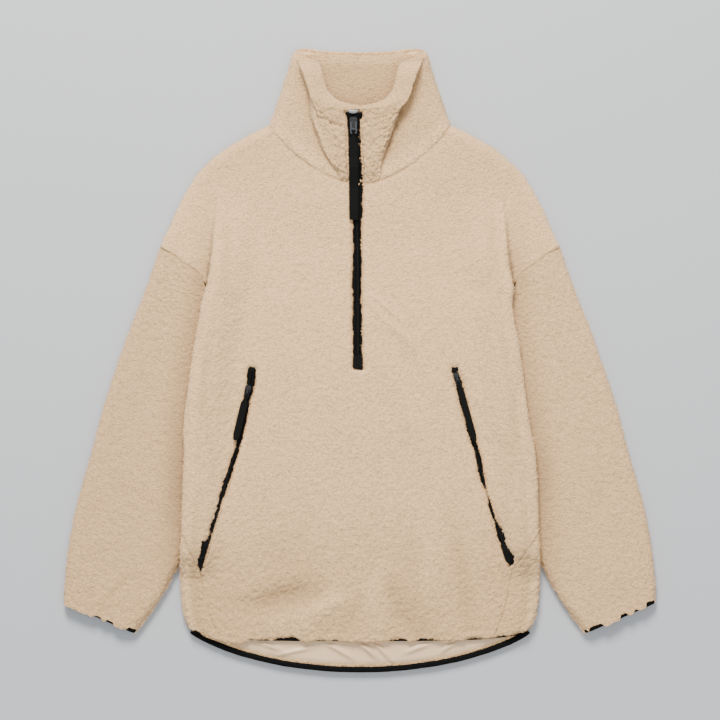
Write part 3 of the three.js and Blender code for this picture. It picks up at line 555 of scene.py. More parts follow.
    def underside(self, x: Array, y: Array) -> Array:
        """Height of the back's outer face."""
        window = smooth((y - self.sides_from) / 50) * (1 - smooth((y - 90) / 32))
        return self.side_lift * self._over_sleeve(x, y, self.lift_reach, self.lift_ramp) * window

    def plain_top(self, x: Array, y: Array) -> Array:
        """Height of the front without its folds.

        Args:
            x: places across.
            y: levels.

        Returns:
            The height at each point.
        """
        far = np.hypot(x / 1.45, self.neck_top - y) - self.neck_depth
        propped = self.neck_rise * smooth(1 - far / self.neck_rise_reach)
        rise = self._over_sleeve(x, y, self.rise_reach, self.rise_ramp)
        rise = rise * smooth((y - self.sides_from) / 50) * self.crease_share(y)
        return self.body_height + propped + self.side_lift * rise

    def folded(self, x: Array, y: Array) -> Array:
        """Height that the front's folds and creases add."""
        deep = sum(fold.height(x, y) for fold in self.folds)
        return deep * 1.15 + sum(fold.height(x, y) for fold in self.creases) + self.drape(x, y)

    def top(self, x: Array, y: Array) -> Array:
        """Height of the front with its folds."""
        return self.plain_top(x, y) + self.folded(x, y)

    def neck_outline(self) -> Array:
        """Closed plan outline of what the front neck removes."""
        x = np.linspace(-self.neck_half, self.neck_half, 97)
        stray = 1.1 * Grain.cloud(rows(x), 7, 53)
        ends = [(122, self.seam_end), (122, 340), (-122, 340), (-122, self.seam_end)]
        return np.vstack([np.stack([x, self.neck_y(x) + stray], axis=1), ends])

    def zip_outline(self, more: float) -> Array:
        """Outlines the centre zip's slot.

        Args:
            more: how much wider it is than what shows, at each side.

        Returns:
            A closed plan outline.
        """
        y = np.linspace(self.zip_bottom, 330, 60)
        left = np.stack([self.slot.at(y, "left") - more, y], axis=1)
        right = np.stack([self.slot.at(y, "right") + more, y], axis=1)
        return np.vstack([left, right[::-1]])

    def pocket_outline(self, pocket: Pocket, more: float) -> Array:
        """Outlines a pocket's slot.

        Args:
            pocket: the pocket.
            more: how much wider it is than what shows, at each side.

        Returns:
            A closed plan outline.
        """
        s = np.linspace(-0.012, 1, 90)
        line = pocket.point(s)
        right = beside(line, pocket.slot.at(s, "right") + more)
        return np.vstack([right, beside(line, pocket.slot.at(s, "left") - more)[::-1]])

    def panel_outline(self, pocket: Pocket) -> Array:
        """Outlines the side panel below a pocket.

        Args:
            pocket: the pocket.

        Returns:
            A closed plan outline.
        """
        foot = abs(pocket.low_x) + 2
        seam = [
            (252, -178), (228, -219), (foot, pocket.low_y - 5), (foot - 5, -300),
            (foot - 13, -328), (foot - 23, -352), (foot - 34, -400), (300, -400), (300, -178),
        ]
        return np.array([(pocket.side * x, y) for x, y in seam])


class Surface:
    """A cloth surface as a grid of points that can be cut, dipped at its seams and piled."""

    def __init__(self, points: Array, wrapped: bool = False) -> None:
        """Joins a grid of points into quads.

        Args:
            points: stations by columns by three.
            wrapped: joins the last column to the first.
        """
        self.points = points.reshape(-1, 3).astype(float)
        ids = np.arange(len(self.points)).reshape(points.shape[:2])
        if wrapped:
            ids = np.hstack([ids, ids[:, :1]])
        self.quads = np.stack(
            [ids[:-1, :-1], ids[:-1, 1:], ids[1:, 1:], ids[1:, :-1]], axis=-1
        ).reshape(-1, 4)
        self.pile = np.ones(len(self.points))
        self.edge = np.full(len(self.points), FAR)
        self.seam = np.full(len(self.points), FAR)
        # Painted shade at each point, and painted light where it is below 0.
        self.tuck = np.zeros(len(self.points))
        self.folded = np.zeros(len(self.points), bool)

    def normals(self) -> Array:
        """Works out smooth outward directions.

        Returns:
            One direction for each point.
        """
        p, q = self.points, self.quads
        face = np.cross(p[q[:, 2]] - p[q[:, 0]], p[q[:, 3]] - p[q[:, 1]])
        total = np.zeros_like(p)
        for k in range(4):
            np.add.at(total, q[:, k], face)
        return total / np.maximum(np.linalg.norm(total, axis=1, keepdims=True), 1e-9)

    @staticmethod
    def nearest(xy: Array, outline: Array) -> tuple[Array, Array, Array]:
        """Compares plan points with an outline.

        Args:
            xy: plan points, one row each.
            outline: closed plan outline.

        Returns:
            The distance to it, the nearest place on it, and whether a point is inside.
        """
        best = np.full(len(xy), 1e9)
        place = np.zeros_like(xy)
        inside = np.zeros(len(xy), bool)
        for a, b in zip(outline, np.roll(outline, -1, axis=0)):
            run = b - a
            t = clamp(((xy - a) @ run) / max(run @ run, 1e-9))
            spot = a + t[:, None] * run
            gap = np.hypot(*(xy - spot).T)
            closer = gap < best
            best = np.where(closer, gap, best)
            place[closer] = spot[closer]
            if abs(run[1]) > 1e-9:
                crosses = (a[1] > xy[:, 1]) != (b[1] > xy[:, 1])
                at = a[0] + (xy[:, 1] - a[1]) / run[1] * run[0]
                inside ^= crosses & (xy[:, 0] < at)
        return best, place, inside

    def cut(
        self, outline: Array, keep_inside: bool = False, ragged: float = 0, sewn: bool = False
    ) -> None:
        """Removes what lies inside an outline, or outside it, with a clean edge.

        Args:
            outline: closed plan outline.
            keep_inside: keeps the inside in place of the outside.
            ragged: how far the pile strays over the edge, in millimetres.
            sewn: the edge is a seam, in whose groove the pile dips and painted shade is laid.
        """
        low, high = outline.min(axis=0) - 30, outline.max(axis=0) + 30
        xy = self.points[:, :2]
        local = np.all((xy > low) & (xy < high), axis=1)
        gap, place, inside = self.nearest(xy[local], outline)
        gone = np.full(len(xy), keep_inside)
        gone[local] = inside != keep_inside
        count = gone[self.quads].sum(axis=1)
        border = np.zeros(len(xy), bool)
        mixed = (count > 0) & (count < 4)
        border[self.quads[mixed].ravel()] = True
        move = border & gone
        spots = np.zeros_like(xy)
        spots[local] = place
        if ragged:
            stray = Grain.cloud(self.points, 3.4, 71) * 0.5 + 0.5
            away = spots - xy
            away /= np.maximum(np.hypot(*away.T)[:, None], 1e-6)
            spots = spots - away * (stray * ragged)[:, None]
        self.points[move, :2] = spots[move]
        self.quads = self.quads[count < 4]
        distance = np.full(len(xy), FAR)
        distance[local] = np.where(gone[local], 0, gap)
        self.edge = np.minimum(self.edge, distance)
        if sewn:
            self.seam = np.minimum(self.seam, distance)

    def paint_seam_shade(self) -> None:
        """Paints shade along the seams, more in some places than in others."""
        patchy = 0.6 + 0.4 * clamp(Grain.cloud(self.points, 13, 44) + 0.5)
        self.tuck = np.maximum(self.tuck, patchy * (1 - smooth((self.seam - 0.8) / 3.6)))

    def dip(self, depth: float | Array, radius: float) -> None:
        """Rounds the pile down towards every cut edge."""
        share = 1 - rounded(self.edge, radius)
        self.points[:, 2] -= depth * share

    def grow(
        self, curl: float, high: float | Array, seed: int, swell: float = 0.5, knobs: Array | None = None
    ) -> None:
        """Raises curled pile on the surface and remembers how high it stands.

        Args:
            curl: distance between curls in millimetres.
            high: height of a curl in millimetres.
            seed: a whole number.
            swell: height of the slow unevenness under the curls.
            knobs: share of tight knobbly curls at each point, in place of brushed pile.
        """
        curls = Grain.curls(self.points, curl, seed)
        fine = Grain.cloud(self.points, curl * 0.55, seed + 5)
        slow = Grain.cloud(self.points, 26, seed + 9)
        lift = (curls - 0.6) * high + fine * high * 0.22 + slow * swell
        self.points += self.normals() * lift[:, None]
        # The stored pile height sets the painted shade in the crevices; brushed pile is held high, so less shade is
        # painted there.
        self.pile = clamp(curls * 0.8 + 0.2 + fine * 0.25)
        if knobs is not None:
            self.pile = lerp(0.62 + self.pile * 0.38, self.pile, knobs)

    def rest(self, low: Array) -> None:
        """Keeps the marked points just above the surface that the garment lies on."""
        self.points[low, 2] = clamp(self.points[low, 2], 0.03, 1.2)

    def skirt(self, drop: float) -> None:
        """Turns the cut edges down, apart from the folds, so that no hollow shows under them.

        Args:
            drop: how far the turned edge goes down.
        """
        ends = self.quads[:, [0, 1, 1, 2, 2, 3, 3, 0]].reshape(-1, 2)
        key = np.sort(ends, axis=1)
        _, index, count = np.unique(
            key[:, 0] * len(self.points) + key[:, 1], return_index=True, return_counts=True
        )
        open_edges = ends[index[count == 1]]
        open_edges = open_edges[open_edges[:, 0] != open_edges[:, 1]]
        open_edges = open_edges[~self.folded[open_edges].any(axis=1)]
        used, inverse = np.unique(open_edges, return_inverse=True)
        lowered = self.points[used] - np.array([0, 0, drop])
        start = len(self.points)
        pair = inverse.reshape(open_edges.shape) + start
        self.points = np.vstack([self.points, lowered])
        # The turned-down edges get a low pile height, which paints shade on them.
        self.pile = np.append(self.pile, self.pile[used] * 0.4)
        self.tuck = np.append(self.tuck, self.tuck[used])
        quads = np.stack([open_edges[:, 1], open_edges[:, 0], pair[:, 0], pair[:, 1]], axis=1)
        self.quads = np.vstack([self.quads, quads])

    def join(self, other: Surface) -> None:
        """Takes in another surface's points, so that both become one piece of cloth."""
        self.quads = np.vstack([self.quads, other.quads + len(self.points)])
        self.points = np.vstack([self.points, other.points])
        self.pile = np.append(self.pile, other.pile)
        self.tuck = np.append(self.tuck, other.tuck)

    def mesh(self, name: str, material: bpy.types.Material) -> bpy.types.Object:
        """Makes the Blender object, in metres, with its pile height and shade as attributes.

        Args:
            name: the piece's name.
            material: its finish.

        Returns:
            The new object.
        """
        used, inverse = np.unique(self.quads, return_inverse=True)
        points = np.maximum(self.points[used], [-np.inf, -np.inf, 0.02]) * MM
        corners = [list(dict.fromkeys(quad)) for quad in inverse.reshape(self.quads.shape).tolist()]
        faces = [face for face in corners if len(face) > 2]
        data = bpy.data.meshes.new(name)
        data.from_pydata(points, [], faces)
        for key, values in (("pile", self.pile), ("tuck", self.tuck)):
            stored = data.attributes.new(key, "FLOAT", "POINT").data
            stored.foreach_set("value", values[used].astype(np.float32))
        return Maker.place(data, name, material)


class Maker:
    """Small helpers that put meshes in the scene."""

    @staticmethod
    def place(
        data: bpy.types.Mesh, name: str, material: bpy.types.Material, soft: bool = True
    ) -> bpy.types.Object:
        """Links a mesh as a named, finished object.

        Args:
            data: the mesh.
            name: the object's name.
            material: its finish.
            soft: shades it smoothly.

        Returns:
            The new object.
        """
        data.validate()
        data.polygons.foreach_set("use_smooth", [soft] * len(data.polygons))
        data.materials.append(material)
        data.update()
        piece = bpy.data.objects.new(name, data)
        bpy.context.scene.collection.objects.link(piece)
        return piece

    @staticmethod
    def sweep(
        name: str, sections: Array, material: bpy.types.Material, closed: bool = False
    ) -> bpy.types.Object:
        """Joins closed sections along one or more paths into bodies of one piece.

        Args:
            name: the piece's name.
            sections: bodies by stations by points by three, or one body's, in millimetres.
            material: its finish.
            closed: joins the last station to the first.

        Returns:
            The new object.
        """
        sections = sections.reshape(-1, *sections.shape[-3:])
        ids = np.arange(sections[..., 0].size).reshape(sections.shape[:3])
        ids = np.concatenate([ids, ids[:, :, :1]], axis=2)
        if closed:
            ids = np.concatenate([ids, ids[:, :1]], axis=1)
        quads = np.stack([ids[:, :-1, :-1], ids[:, :-1, 1:], ids[:, 1:, 1:], ids[:, 1:, :-1]], axis=-1)
        faces = quads.reshape(-1, 4).tolist()
        if not closed:
            faces += ids[:, 0, -2::-1].tolist() + ids[:, -1, :-1].tolist()
        data = bpy.data.meshes.new(name)
        data.from_pydata(sections.reshape(-1, 3) * MM, [], faces)
        return Maker.place(data, name, material)


class Slot(Enum):
    """The material slots."""

    FLEECE = "fleece"
    LINING = "lining"
    TAPE = "black_tape"
    WEBBING = "webbing"
    METAL = "gunmetal"
    BLACK_METAL = "black_metal"


class Graph:
    """Short-hand for wiring one node tree."""

    def __init__(self, tree: bpy.types.NodeTree) -> None:
        """Starts with an empty tree."""
        self.tree = tree
        tree.nodes.clear()

    def feed(self, socket: bpy.types.NodeSocket, value: object) -> None:
        """Gives an input what it takes.

        Args:
            socket: the input.
            value: an output socket to join to it, or its constant.
        """
        if isinstance(value, bpy.types.NodeSocket):
            self.tree.links.new(value, socket)
        else:
            socket.default_value = value

    def node(self, kind: str, **settings: object) -> bpy.types.Node:
        """Adds a node.

        Args:
            kind: its Blender type.
            settings: its properties, and its inputs as in_ with a number or a name.

        Returns:
            The new node.
        """
        made = self.tree.nodes.new(kind)
        for key, value in settings.items():
            if key.startswith("in_"):
                name = key[3:].replace("_", " ")
                self.feed(made.inputs[int(name) if name.isdigit() else name], value)
            else:
                setattr(made, key, value)
        return made

    def maths(self, operation: str, *values: object) -> bpy.types.NodeSocket:
        """Adds a Math node.

        Args:
            operation: what it works out.
            values: its inputs in order, sockets or numbers.

        Returns:
            The output socket.
        """
        inputs = {f"in_{index}": value for index, value in enumerate(values)}
        return self.node("ShaderNodeMath", operation=operation, **inputs).outputs[0]

    def mix(self, share: object, dark: object, light: object) -> bpy.types.NodeSocket:
        """Mixes two colours, each a socket or a colour, by a share from 0 to 1."""
        return self.node("ShaderNodeMix", data_type="RGBA", in_0=share, in_6=dark, in_7=light).outputs[2]


def group(
    name: str, inputs: dict[str, float], outputs: Sequence[str]
) -> tuple[Graph, bpy.types.Node, bpy.types.Node]:
    """Starts a shared shader effect.

    Args:
        name: the effect's name.
        inputs: value inputs and their defaults.
        outputs: names of its value outputs.

    Returns:
        The graph, the group's input node and its output node.
    """
    tree = bpy.data.node_groups.new(name, "ShaderNodeTree")
    tree.interface.new_socket("Place", in_out="INPUT", socket_type="NodeSocketVector")
    for key, value in inputs.items():
        socket = tree.interface.new_socket(key, in_out="INPUT", socket_type="NodeSocketFloat")
        socket.default_value = value
    for key in outputs:
        tree.interface.new_socket(key, in_out="OUTPUT", socket_type="NodeSocketFloat")
    graph = Graph(tree)
    return graph, graph.node("NodeGroupInput"), graph.node("NodeGroupOutput")


class Effects:
    """Shader effects that several finishes share, each built once."""

    def __init__(self) -> None:
        """Builds the effects."""
        self.nap = self._nap()
        self.weave = self._weave()
        self.mottle = self._mottle()

    @staticmethod
    def _nap() -> bpy.types.NodeTree:
        """Fine curled pile.

        Returns:
            A group that puts out a height and a mask of the crevices.
        """
        g, start, end = group("curled_nap", {"Scale": 300.0, "Swirl": 0.6}, ("Height", "Crevice"))
        place, scale = start.outputs["Place"], start.outputs["Scale"]
        warp = g.node(
            "ShaderNodeTexNoise", in_Vector=place, in_Scale=g.maths("MULTIPLY", scale, 0.55),
            in_Detail=1.0, in_Roughness=0.5,
        )
        centred = g.node(
            "ShaderNodeVectorMath", operation="SUBTRACT", in_0=warp.outputs["Color"], in_1=(0.5, 0.5, 0.5)
        )
        amount = g.maths("MULTIPLY", g.maths("DIVIDE", start.outputs["Swirl"], scale), 3.0)
        scaled = g.node("ShaderNodeVectorMath", operation="SCALE", in_0=centred.outputs[0], in_Scale=amount)
        moved = g.node("ShaderNodeVectorMath", operation="ADD", in_0=place, in_1=scaled.outputs[0])
        cells = g.node(
            "ShaderNodeTexVoronoi", feature="SMOOTH_F1", in_Vector=moved.outputs[0], in_Scale=scale,
            in_Smoothness=0.35,
        )
        fibres = g.node(
            "ShaderNodeTexNoise", in_Vector=moved.outputs[0], in_Scale=g.maths("MULTIPLY", scale, 1.9),
            in_Detail=3.0, in_Roughness=0.62,
        )
        crown = g.maths("SUBTRACT", 1.0, cells.outputs["Distance"])
        height = g.maths("ADD", crown, g.maths("MULTIPLY", fibres.outputs["Fac"], 0.55))
        mask = g.node(
            "ShaderNodeMapRange", interpolation_type="SMOOTHSTEP", in_Value=height,
            in_From_Min=0.95, in_From_Max=0.45,
        )
        g.feed(end.inputs["Height"], height)
        g.feed(end.inputs["Crevice"], mask.outputs["Result"])
        return g.tree

    @staticmethod
    def _weave() -> bpy.types.NodeTree:
        """Crossed yarns of a tape, webbing or lining.

        Returns:
            A group that puts out a height and a mask of the gaps.
        """
        g, start, end = group("crossed_yarns", {"Across": 1500.0, "Along": 1500.0}, ("Height", "Gap"))
        parts = g.node("ShaderNodeSeparateXYZ", in_0=start.outputs["Place"])
        warp = g.maths("SINE", g.maths("MULTIPLY", parts.outputs["X"], start.outputs["Across"]))
        weft = g.maths("SINE", g.maths("MULTIPLY", parts.outputs["Y"], start.outputs["Along"]))
        height = g.maths("MULTIPLY_ADD", g.maths("MULTIPLY", warp, weft), 0.5, 0.5)
        g.feed(end.inputs["Height"], height)
        g.feed(end.inputs["Gap"], g.maths("POWER", g.maths("SUBTRACT", 1.0, height), 3.0))
        return g.tree

    @staticmethod
    def _mottle() -> bpy.types.NodeTree:
        """Slow patches of dye.

        Returns:
            A group that puts out a mask of the warmer patches and one of the paler ones.
        """
        g, start, end = group("dye_mottle", {"Size": 90.0}, ("Warm", "Pale"))
        for name, factor in (("Warm", 1.0), ("Pale", 0.31)):
            patch = g.node(
                "ShaderNodeTexNoise", in_Vector=start.outputs["Place"],
                in_Scale=g.maths("MULTIPLY", start.outputs["Size"], factor), in_Detail=2.0, in_Roughness=0.6,
            )
            g.feed(end.inputs[name], patch.outputs["Fac"])
        return g.tree

    @staticmethod
    def place(g: Graph, effect: bpy.types.NodeTree, **values: float) -> bpy.types.Node:
        """Adds an effect to a material at the object's own coordinates.

        Args:
            g: the material's graph.
            effect: the effect's group.
            values: its inputs.

        Returns:
            The group's node.
        """
        where = g.node("ShaderNodeTexCoord").outputs["Object"]
        inputs = {f"in_{key}": value for key, value in values.items()}
        return g.node("ShaderNodeGroup", node_tree=effect, in_Place=where, **inputs)


def shader(name: str, **settings: float | tuple) -> tuple[Graph, bpy.types.Node, bpy.types.Material]:
    """Starts a material with a Principled shader whose constants sit on its own sockets.

    Args:
        name: the material's name.
        settings: input names, with _ for a space, and their values.

    Returns:
        The graph, the shader and the material.
    """
    made = bpy.data.materials.new(name)
    made.use_nodes = True
    g = Graph(made.node_tree)
    body = g.node("ShaderNodeBsdfPrincipled", **{f"in_{key}": value for key, value in settings.items()})
    g.node("ShaderNodeOutputMaterial", in_0=body.outputs[0])
    return g, body, made


def bump(
    g: Graph, body: bpy.types.Node, height: bpy.types.NodeSocket, strength: float, depth: float
) -> None:
    """Feeds a height to a shader's normal.

    Args:
        g: the material's graph.
        body: its shader.
        height: the height's socket.
        strength: from 0 to 1.
        depth: real depth in metres.
    """
    made = g.node("ShaderNodeBump", in_Strength=strength, in_Distance=depth, in_Height=height)
    g.feed(body.inputs["Normal"], made.outputs[0])


@dataclass(frozen=True)
class Pile:
    """Finish of the sherpa pile."""

    name: str
    # root: colour of the painted shade in the crevices; tip: colour of the crowns and of painted light; warm: colour of
    # the dye patches; deep: colour of painted shade.
    root: Colour
    curl: float
    depth: float
    shade: float
    tip: Colour = (0.728, 0.472, 0.233, 1)
    warm: Colour = (0.70, 0.428, 0.212, 1)
    deep: Colour = (0.30, 0.19, 0.098, 1)

    def make(self, effects: Effects) -> bpy.types.Material:
        """Builds the material, with painted shade in its crevices, painted shade where the tuck attribute is above 0
        and painted light where it is below 0.

        Args:
            effects: the shared effects.

        Returns:
            The material.
        """
        g, body, made = shader(
            self.name, Roughness=0.95, Sheen_Roughness=0.55, Sheen_Tint=(1.0, 0.93, 0.84, 1.0),
            Specular_IOR_Level=0.12,
        )
        nap = effects.place(g, effects.nap, Scale=self.curl, Swirl=0.7)
        dye = effects.place(g, effects.mottle, Size=70.0)
        # Painted shade: the root colour fills the crevices of the nap and of the stored pile.
        pile = g.node("ShaderNodeAttribute", attribute_name="pile").outputs["Fac"]
        low = g.maths("MULTIPLY", g.maths("SUBTRACT", 1.0, pile), 0.75)
        dark = g.maths("MULTIPLY", g.maths("ADD", low, nap.outputs["Crevice"]), self.shade)
        dyed = g.mix(g.maths("MULTIPLY", dye.outputs["Warm"], 0.55), self.tip, self.warm)
        colour = g.mix(g.maths("MINIMUM", dark, 1.0), dyed, self.root)
        # The tuck attribute paints shade with the deep colour and, below 0, light with the tip colour; the sheen fades
        # where shade is painted.
        tuck = g.node("ShaderNodeAttribute", attribute_name="tuck").outputs["Fac"]
        sheen_where_unshaded = g.maths("SUBTRACT", 1.0, g.maths("MINIMUM", g.maths("MAXIMUM", tuck, 0.0), 1.0))
        painted_light_colour = g.mix(g.maths("MULTIPLY", tuck, -0.7), colour, self.tip)
        g.feed(body.inputs["Sheen Weight"], g.maths("MULTIPLY", sheen_where_unshaded, 0.35))
        g.feed(body.inputs["Base Color"], g.mix(g.maths("MULTIPLY", tuck, 0.7), painted_light_colour, self.deep))
        bump(g, body, nap.outputs["Height"], 0.9, self.depth)
        return made


@dataclass(frozen=True)
class Woven:
    """Finish of a woven tape, webbing or lining."""

    name: str
    colour: Colour
    gap: Colour
    across: float
    along: float
    rough: float
    depth: float
    sheen: float = 0.0
    shine: float = 0.08

    def make(self, effects: Effects) -> bpy.types.Material:
        """Builds the material.

        Args:
            effects: the shared effects.

        Returns:
            The material.
        """
        g, body, made = shader(
            self.name, Roughness=self.rough, Sheen_Weight=self.sheen, Specular_IOR_Level=self.shine
        )
        yarns = effects.place(g, effects.weave, Across=self.across, Along=self.along)
        g.feed(body.inputs["Base Color"], g.mix(yarns.outputs["Gap"], self.colour, self.gap))
        bump(g, body, yarns.outputs["Height"], 0.6, self.depth)
        return made


@dataclass(frozen=True)
class Metal:
    """Finish of a cast metal piece."""

    name: str
    colour: Colour
    rough: float
    metallic: float = 1.0
    wear: float = 1.5

    def make(self, effects: Effects) -> bpy.types.Material:
        """Builds the material, paler and rougher in patches.

        Args:
            effects: the shared effects.

        Returns:
            The material.
        """
        g, body, made = shader(self.name, Metallic=self.metallic)
        dye = effects.place(g, effects.mottle, Size=900.0)
        worn = tuple(part * self.wear for part in self.colour[:3]) + (1.0,)
        g.feed(body.inputs["Base Color"], g.mix(dye.outputs["Warm"], self.colour, worn))
        rough = g.maths("MULTIPLY_ADD", dye.outputs["Pale"], 0.2, self.rough - 0.1)
        g.feed(body.inputs["Roughness"], rough)
        return made


class Wardrobe:
    """Every finish of the garment, ready to use."""

    def __init__(self) -> None:
        """Makes the materials."""
        effects = Effects()
        # Each pile's second value is the colour of its painted crevice shade.
        self.body = Pile("body_pile", (0.41, 0.265, 0.13, 1), 430, 0.0011, 0.55).make(effects)
        self.collar = Pile("collar_pile", (0.37, 0.235, 0.115, 1), 400, 0.0012, 0.62).make(effects)
        self.fibre = Pile("loose_fibres", (0.55, 0.36, 0.18, 1), 330, 0.0002, 0.3).make(effects)
        self.lining = Woven(
            "lining_cloth", (0.62, 0.43, 0.25, 1), (0.50, 0.34, 0.195, 1),
            across=9000, along=9000, rough=0.42, depth=0.00006, sheen=0.2, shine=0.5,
        ).make(effects)
        self.satin = Woven(
            "pale_satin", (0.16, 0.165, 0.162, 1), (0.13, 0.134, 0.132, 1),
            across=6000, along=6000, rough=0.35, depth=0.00004, sheen=0.1, shine=0.5,
        ).make(effects)
        self.tape = Woven(
            "black_tape", (0.0028, 0.0028, 0.0027, 1), (0.0012, 0.0012, 0.0012, 1),
            across=5200, along=3600, rough=0.85, depth=0.0002,
        ).make(effects)
        self.coil = Woven(
            "coil_black", (0.0035, 0.0035, 0.0035, 1), (0.0018, 0.0018, 0.0018, 1),
            across=4000, along=4000, rough=0.4, depth=0.00004,
        ).make(effects)
        self.webbing = Woven(
            "webbing_black", (0.003, 0.0032, 0.003, 1), (0.0014, 0.0014, 0.0014, 1),
            across=4200, along=3000, rough=0.75, depth=0.00018,
        ).make(effects)
        self.metal = Metal("gunmetal", (0.05, 0.052, 0.057, 1), 0.45).make(effects)
        self.dark_metal = Metal("dark_gunmetal", (0.012, 0.0125, 0.0135, 1), 0.33).make(effects)
        self.black_metal = Metal("black_lacquer", (0.006, 0.006, 0.0065, 1), 0.45, 0.3).make(effects)


def dress(piece: bpy.types.Object, body: str, slot: Slot, *nodes: str) -> bpy.types.Object:
    """Rides a piece on a body and hides the solids that it stands for.

    Args:
        piece: the piece.
        body: the body's name.
        slot: its material slot; not used.
        nodes: the solids' nodes.

    Returns:
        The piece.
    """
    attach(piece, body)
    if nodes:
        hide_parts(*nodes)
    return piece


@dataclass
class Body:
    """Front, back and side panels, cut from one flattened tube."""

    cut: Cut
    cloth: Wardrobe
    grid: float = 1.85
    back_grid: float = 4.0
    lap: float = 1.5
    seam_dip: float = 2.2
    zip_dip: float = 2.6
    curl: float = 4.5
    curl_high: float = 0.9
    turn_under: float = -35.0
    roll: float = 12
    panel_top: float = -170

    def levels(self, step: float) -> Array:
        """Row levels from hem to neck, with the armhole's own levels among them.

        Args:
            step: spacing of the rows.

        Returns:
            The levels, from the lowest.
        """
        c = self.cut
        plain = np.arange(c.hem_side, c.neck_top, step)
        close = np.abs(plain - c.armhole_low) < step * 0.5
        corners = [c.armhole_low - 0.05, c.armhole_low, c.armhole_high]
        return np.unique(np.concatenate([plain[~close], corners]))

    def half(self, upper: bool, step: float, high: float = np.inf) -> Surface:
        """One face of the tube as a grid.

        Args:
            upper: the front in place of the back.
            step: spacing of its points.
            high: highest row level to make.

        Returns:
            The surface, not yet cut.
        """
        c = self.cut
        y = self.levels(step)
        y = y[y <= high][:, None]
        below = y < c.armhole_low
        outline = np.where(below, c.body.at(y, "half"), c.shoulder.at(y, "half"))
        roll = np.where(below, c.body.at(y, "roll"), c.shoulder.at(y, "roll"))
        seam = (~below) & (y < c.armhole_high)
        start = smooth((y - c.armhole_low) / 8)
        waist = c.body.at(np.array(c.armhole_low), "half")
        end = np.where(seam, lerp(waist, c.arm_x(y) + self.lap, start), outline)
        eased = lerp(end - 0.7 * start, outline, smooth((y - c.armhole_low - 3) / 14))
        outline = np.where(seam, eased, outline)
        roll = np.where(seam, lerp(11.0, roll, start), roll)
        turns = np.radians(np.linspace(self.turn_under, 90, 13 if upper else 9))[None, :]
        d = roll * (1 - np.cos(turns))
        fold_x = np.where(seam & (turns < 0), end, end - d)
        fold_share = np.where(
            seam, rounded(outline - fold_x, roll), np.broadcast_to(np.sin(turns), fold_x.shape)
        )
        count = int(2 * (c.body.at(-200, "half") - self.roll) / step)
        across = np.linspace(-1, 1, count + 1)[None, 1:-1]
        middle_x = across * (end - roll)
        middle_share = rounded(outline - np.abs(middle_x), roll)
        x = np.hstack([-fold_x, middle_x, fold_x[:, ::-1]]) + c.sway(y)
        share = np.hstack([fold_share, middle_share, fold_share[:, ::-1]])
        hem = c.hem_edge(x) if upper else c.back_hem(x) + c.back_binding + 0.3
        plan_y = y + c.hem_bend(y) * (hem - c.hem_side)
        low_z, plain = c.underside(x, y), c.plain_top(x, y)
        middle = (low_z + plain) / 2
        top = c.top(x, plan_y)
        full = np.sign(share) * np.abs(share) ** 0.7
        z_up = np.where(share >= 0, middle + (top - middle) * full, middle + (middle - low_z) * full)
        z_down = middle - (middle - low_z) * share
        z_down = np.where(share >= 0, z_down, middle - (plain - middle) * share)
        points = np.stack([x, plan_y, z_up if upper else z_down], axis=-1)
        if not upper:
            return Surface(points[:, ::-1])
        surface = Surface(points)
        folded = np.zeros(x.shape, bool)
        folded[:, :3] = folded[:, -3:] = True
        surface.folded = (folded & ~(seam | (y < c.hem_side + step))).ravel()
        x, y = surface.points[:, 0], surface.points[:, 1]
        low = self.lower(y)
        # Painted shade beside the side fold and in its furrow, painted light inside it, painted shade in the folds'
        # troughs and light on their ridges, and painted shade towards the hem and on the shoulders.
        surface.tuck = c.fold_painted_shade(x, y) * (y >= c.armhole_low)
        surface.tuck += c.fold_painted_light_and_shade(x, y) - (0.085 + 0.05 * low) * np.clip(c.folded(x, y), -4, 3)
        surface.tuck += 0.36 * low + 0.22 * smooth((y - 200) / 60)
        return surface

    @staticmethod
    def lower(y: Array) -> Array:
        """Grows from 0 at the pockets to 1 near the hem, where the pile is fuller and more shade is painted."""
        return smooth((-150 - y) / 140)

    def _finish(self, surface: Surface, seed: int) -> None:
        """Dips the seams and paints shade along them, grows the pile and turns the cut edges down.

        Args:
            surface: an upper face, cut to its outline.
            seed: a whole number for its curls.
        """
        x, y = surface.points[:, 0], surface.points[:, 1]
        surface.edge = np.minimum(surface.edge, y - self.cut.hem_edge(x) + 1.4)
        surface.dip(np.where(surface.seam < 6, self.seam_dip, self.zip_dip), 4.6)
        surface.paint_seam_shade()
        waist = smooth((90 - y) / 160)
        high = self.curl_high * (1 + 0.25 * waist + 1.1 * self.lower(y))
        surface.grow(self.curl, high, seed, 0.5, 0.5 + 0.5 * waist)
        surface.skirt(5)

    def front(self) -> None:
        """The front, with its slots for the zips."""
        c = self.cut
        surface = self.half(True, self.grid)
        surface.cut(c.neck_outline() + [0, self.lap], sewn=True)
        surface.cut(c.zip_outline(1.1), ragged=2.4)
        for pocket in c.pockets:
            surface.cut(c.pocket_outline(pocket, 1.1), ragged=2.4)
            surface.cut(c.panel_outline(pocket) + [pocket.side * self.lap, 0], sewn=True)
        x, y = surface.points[:, 0], surface.points[:, 1]
        to_arm = np.abs(np.abs(x) - c.arm_x(y) - self.lap) * 0.66
        to_arm += 8 * (1 - smooth((y - c.armhole_low - 1) / 8))
        to_arm = np.where((y > c.armhole_low - 1) & (y < c.armhole_high + 1), to_arm, FAR)
        surface.edge, surface.seam = np.minimum(surface.edge, to_arm), np.minimum(surface.seam, to_arm)
        self._finish(surface, 3)
        piece = surface.mesh("front_panel_pile", self.cloth.body)
        dress(piece, "garment", Slot.FLEECE, "front_panel")

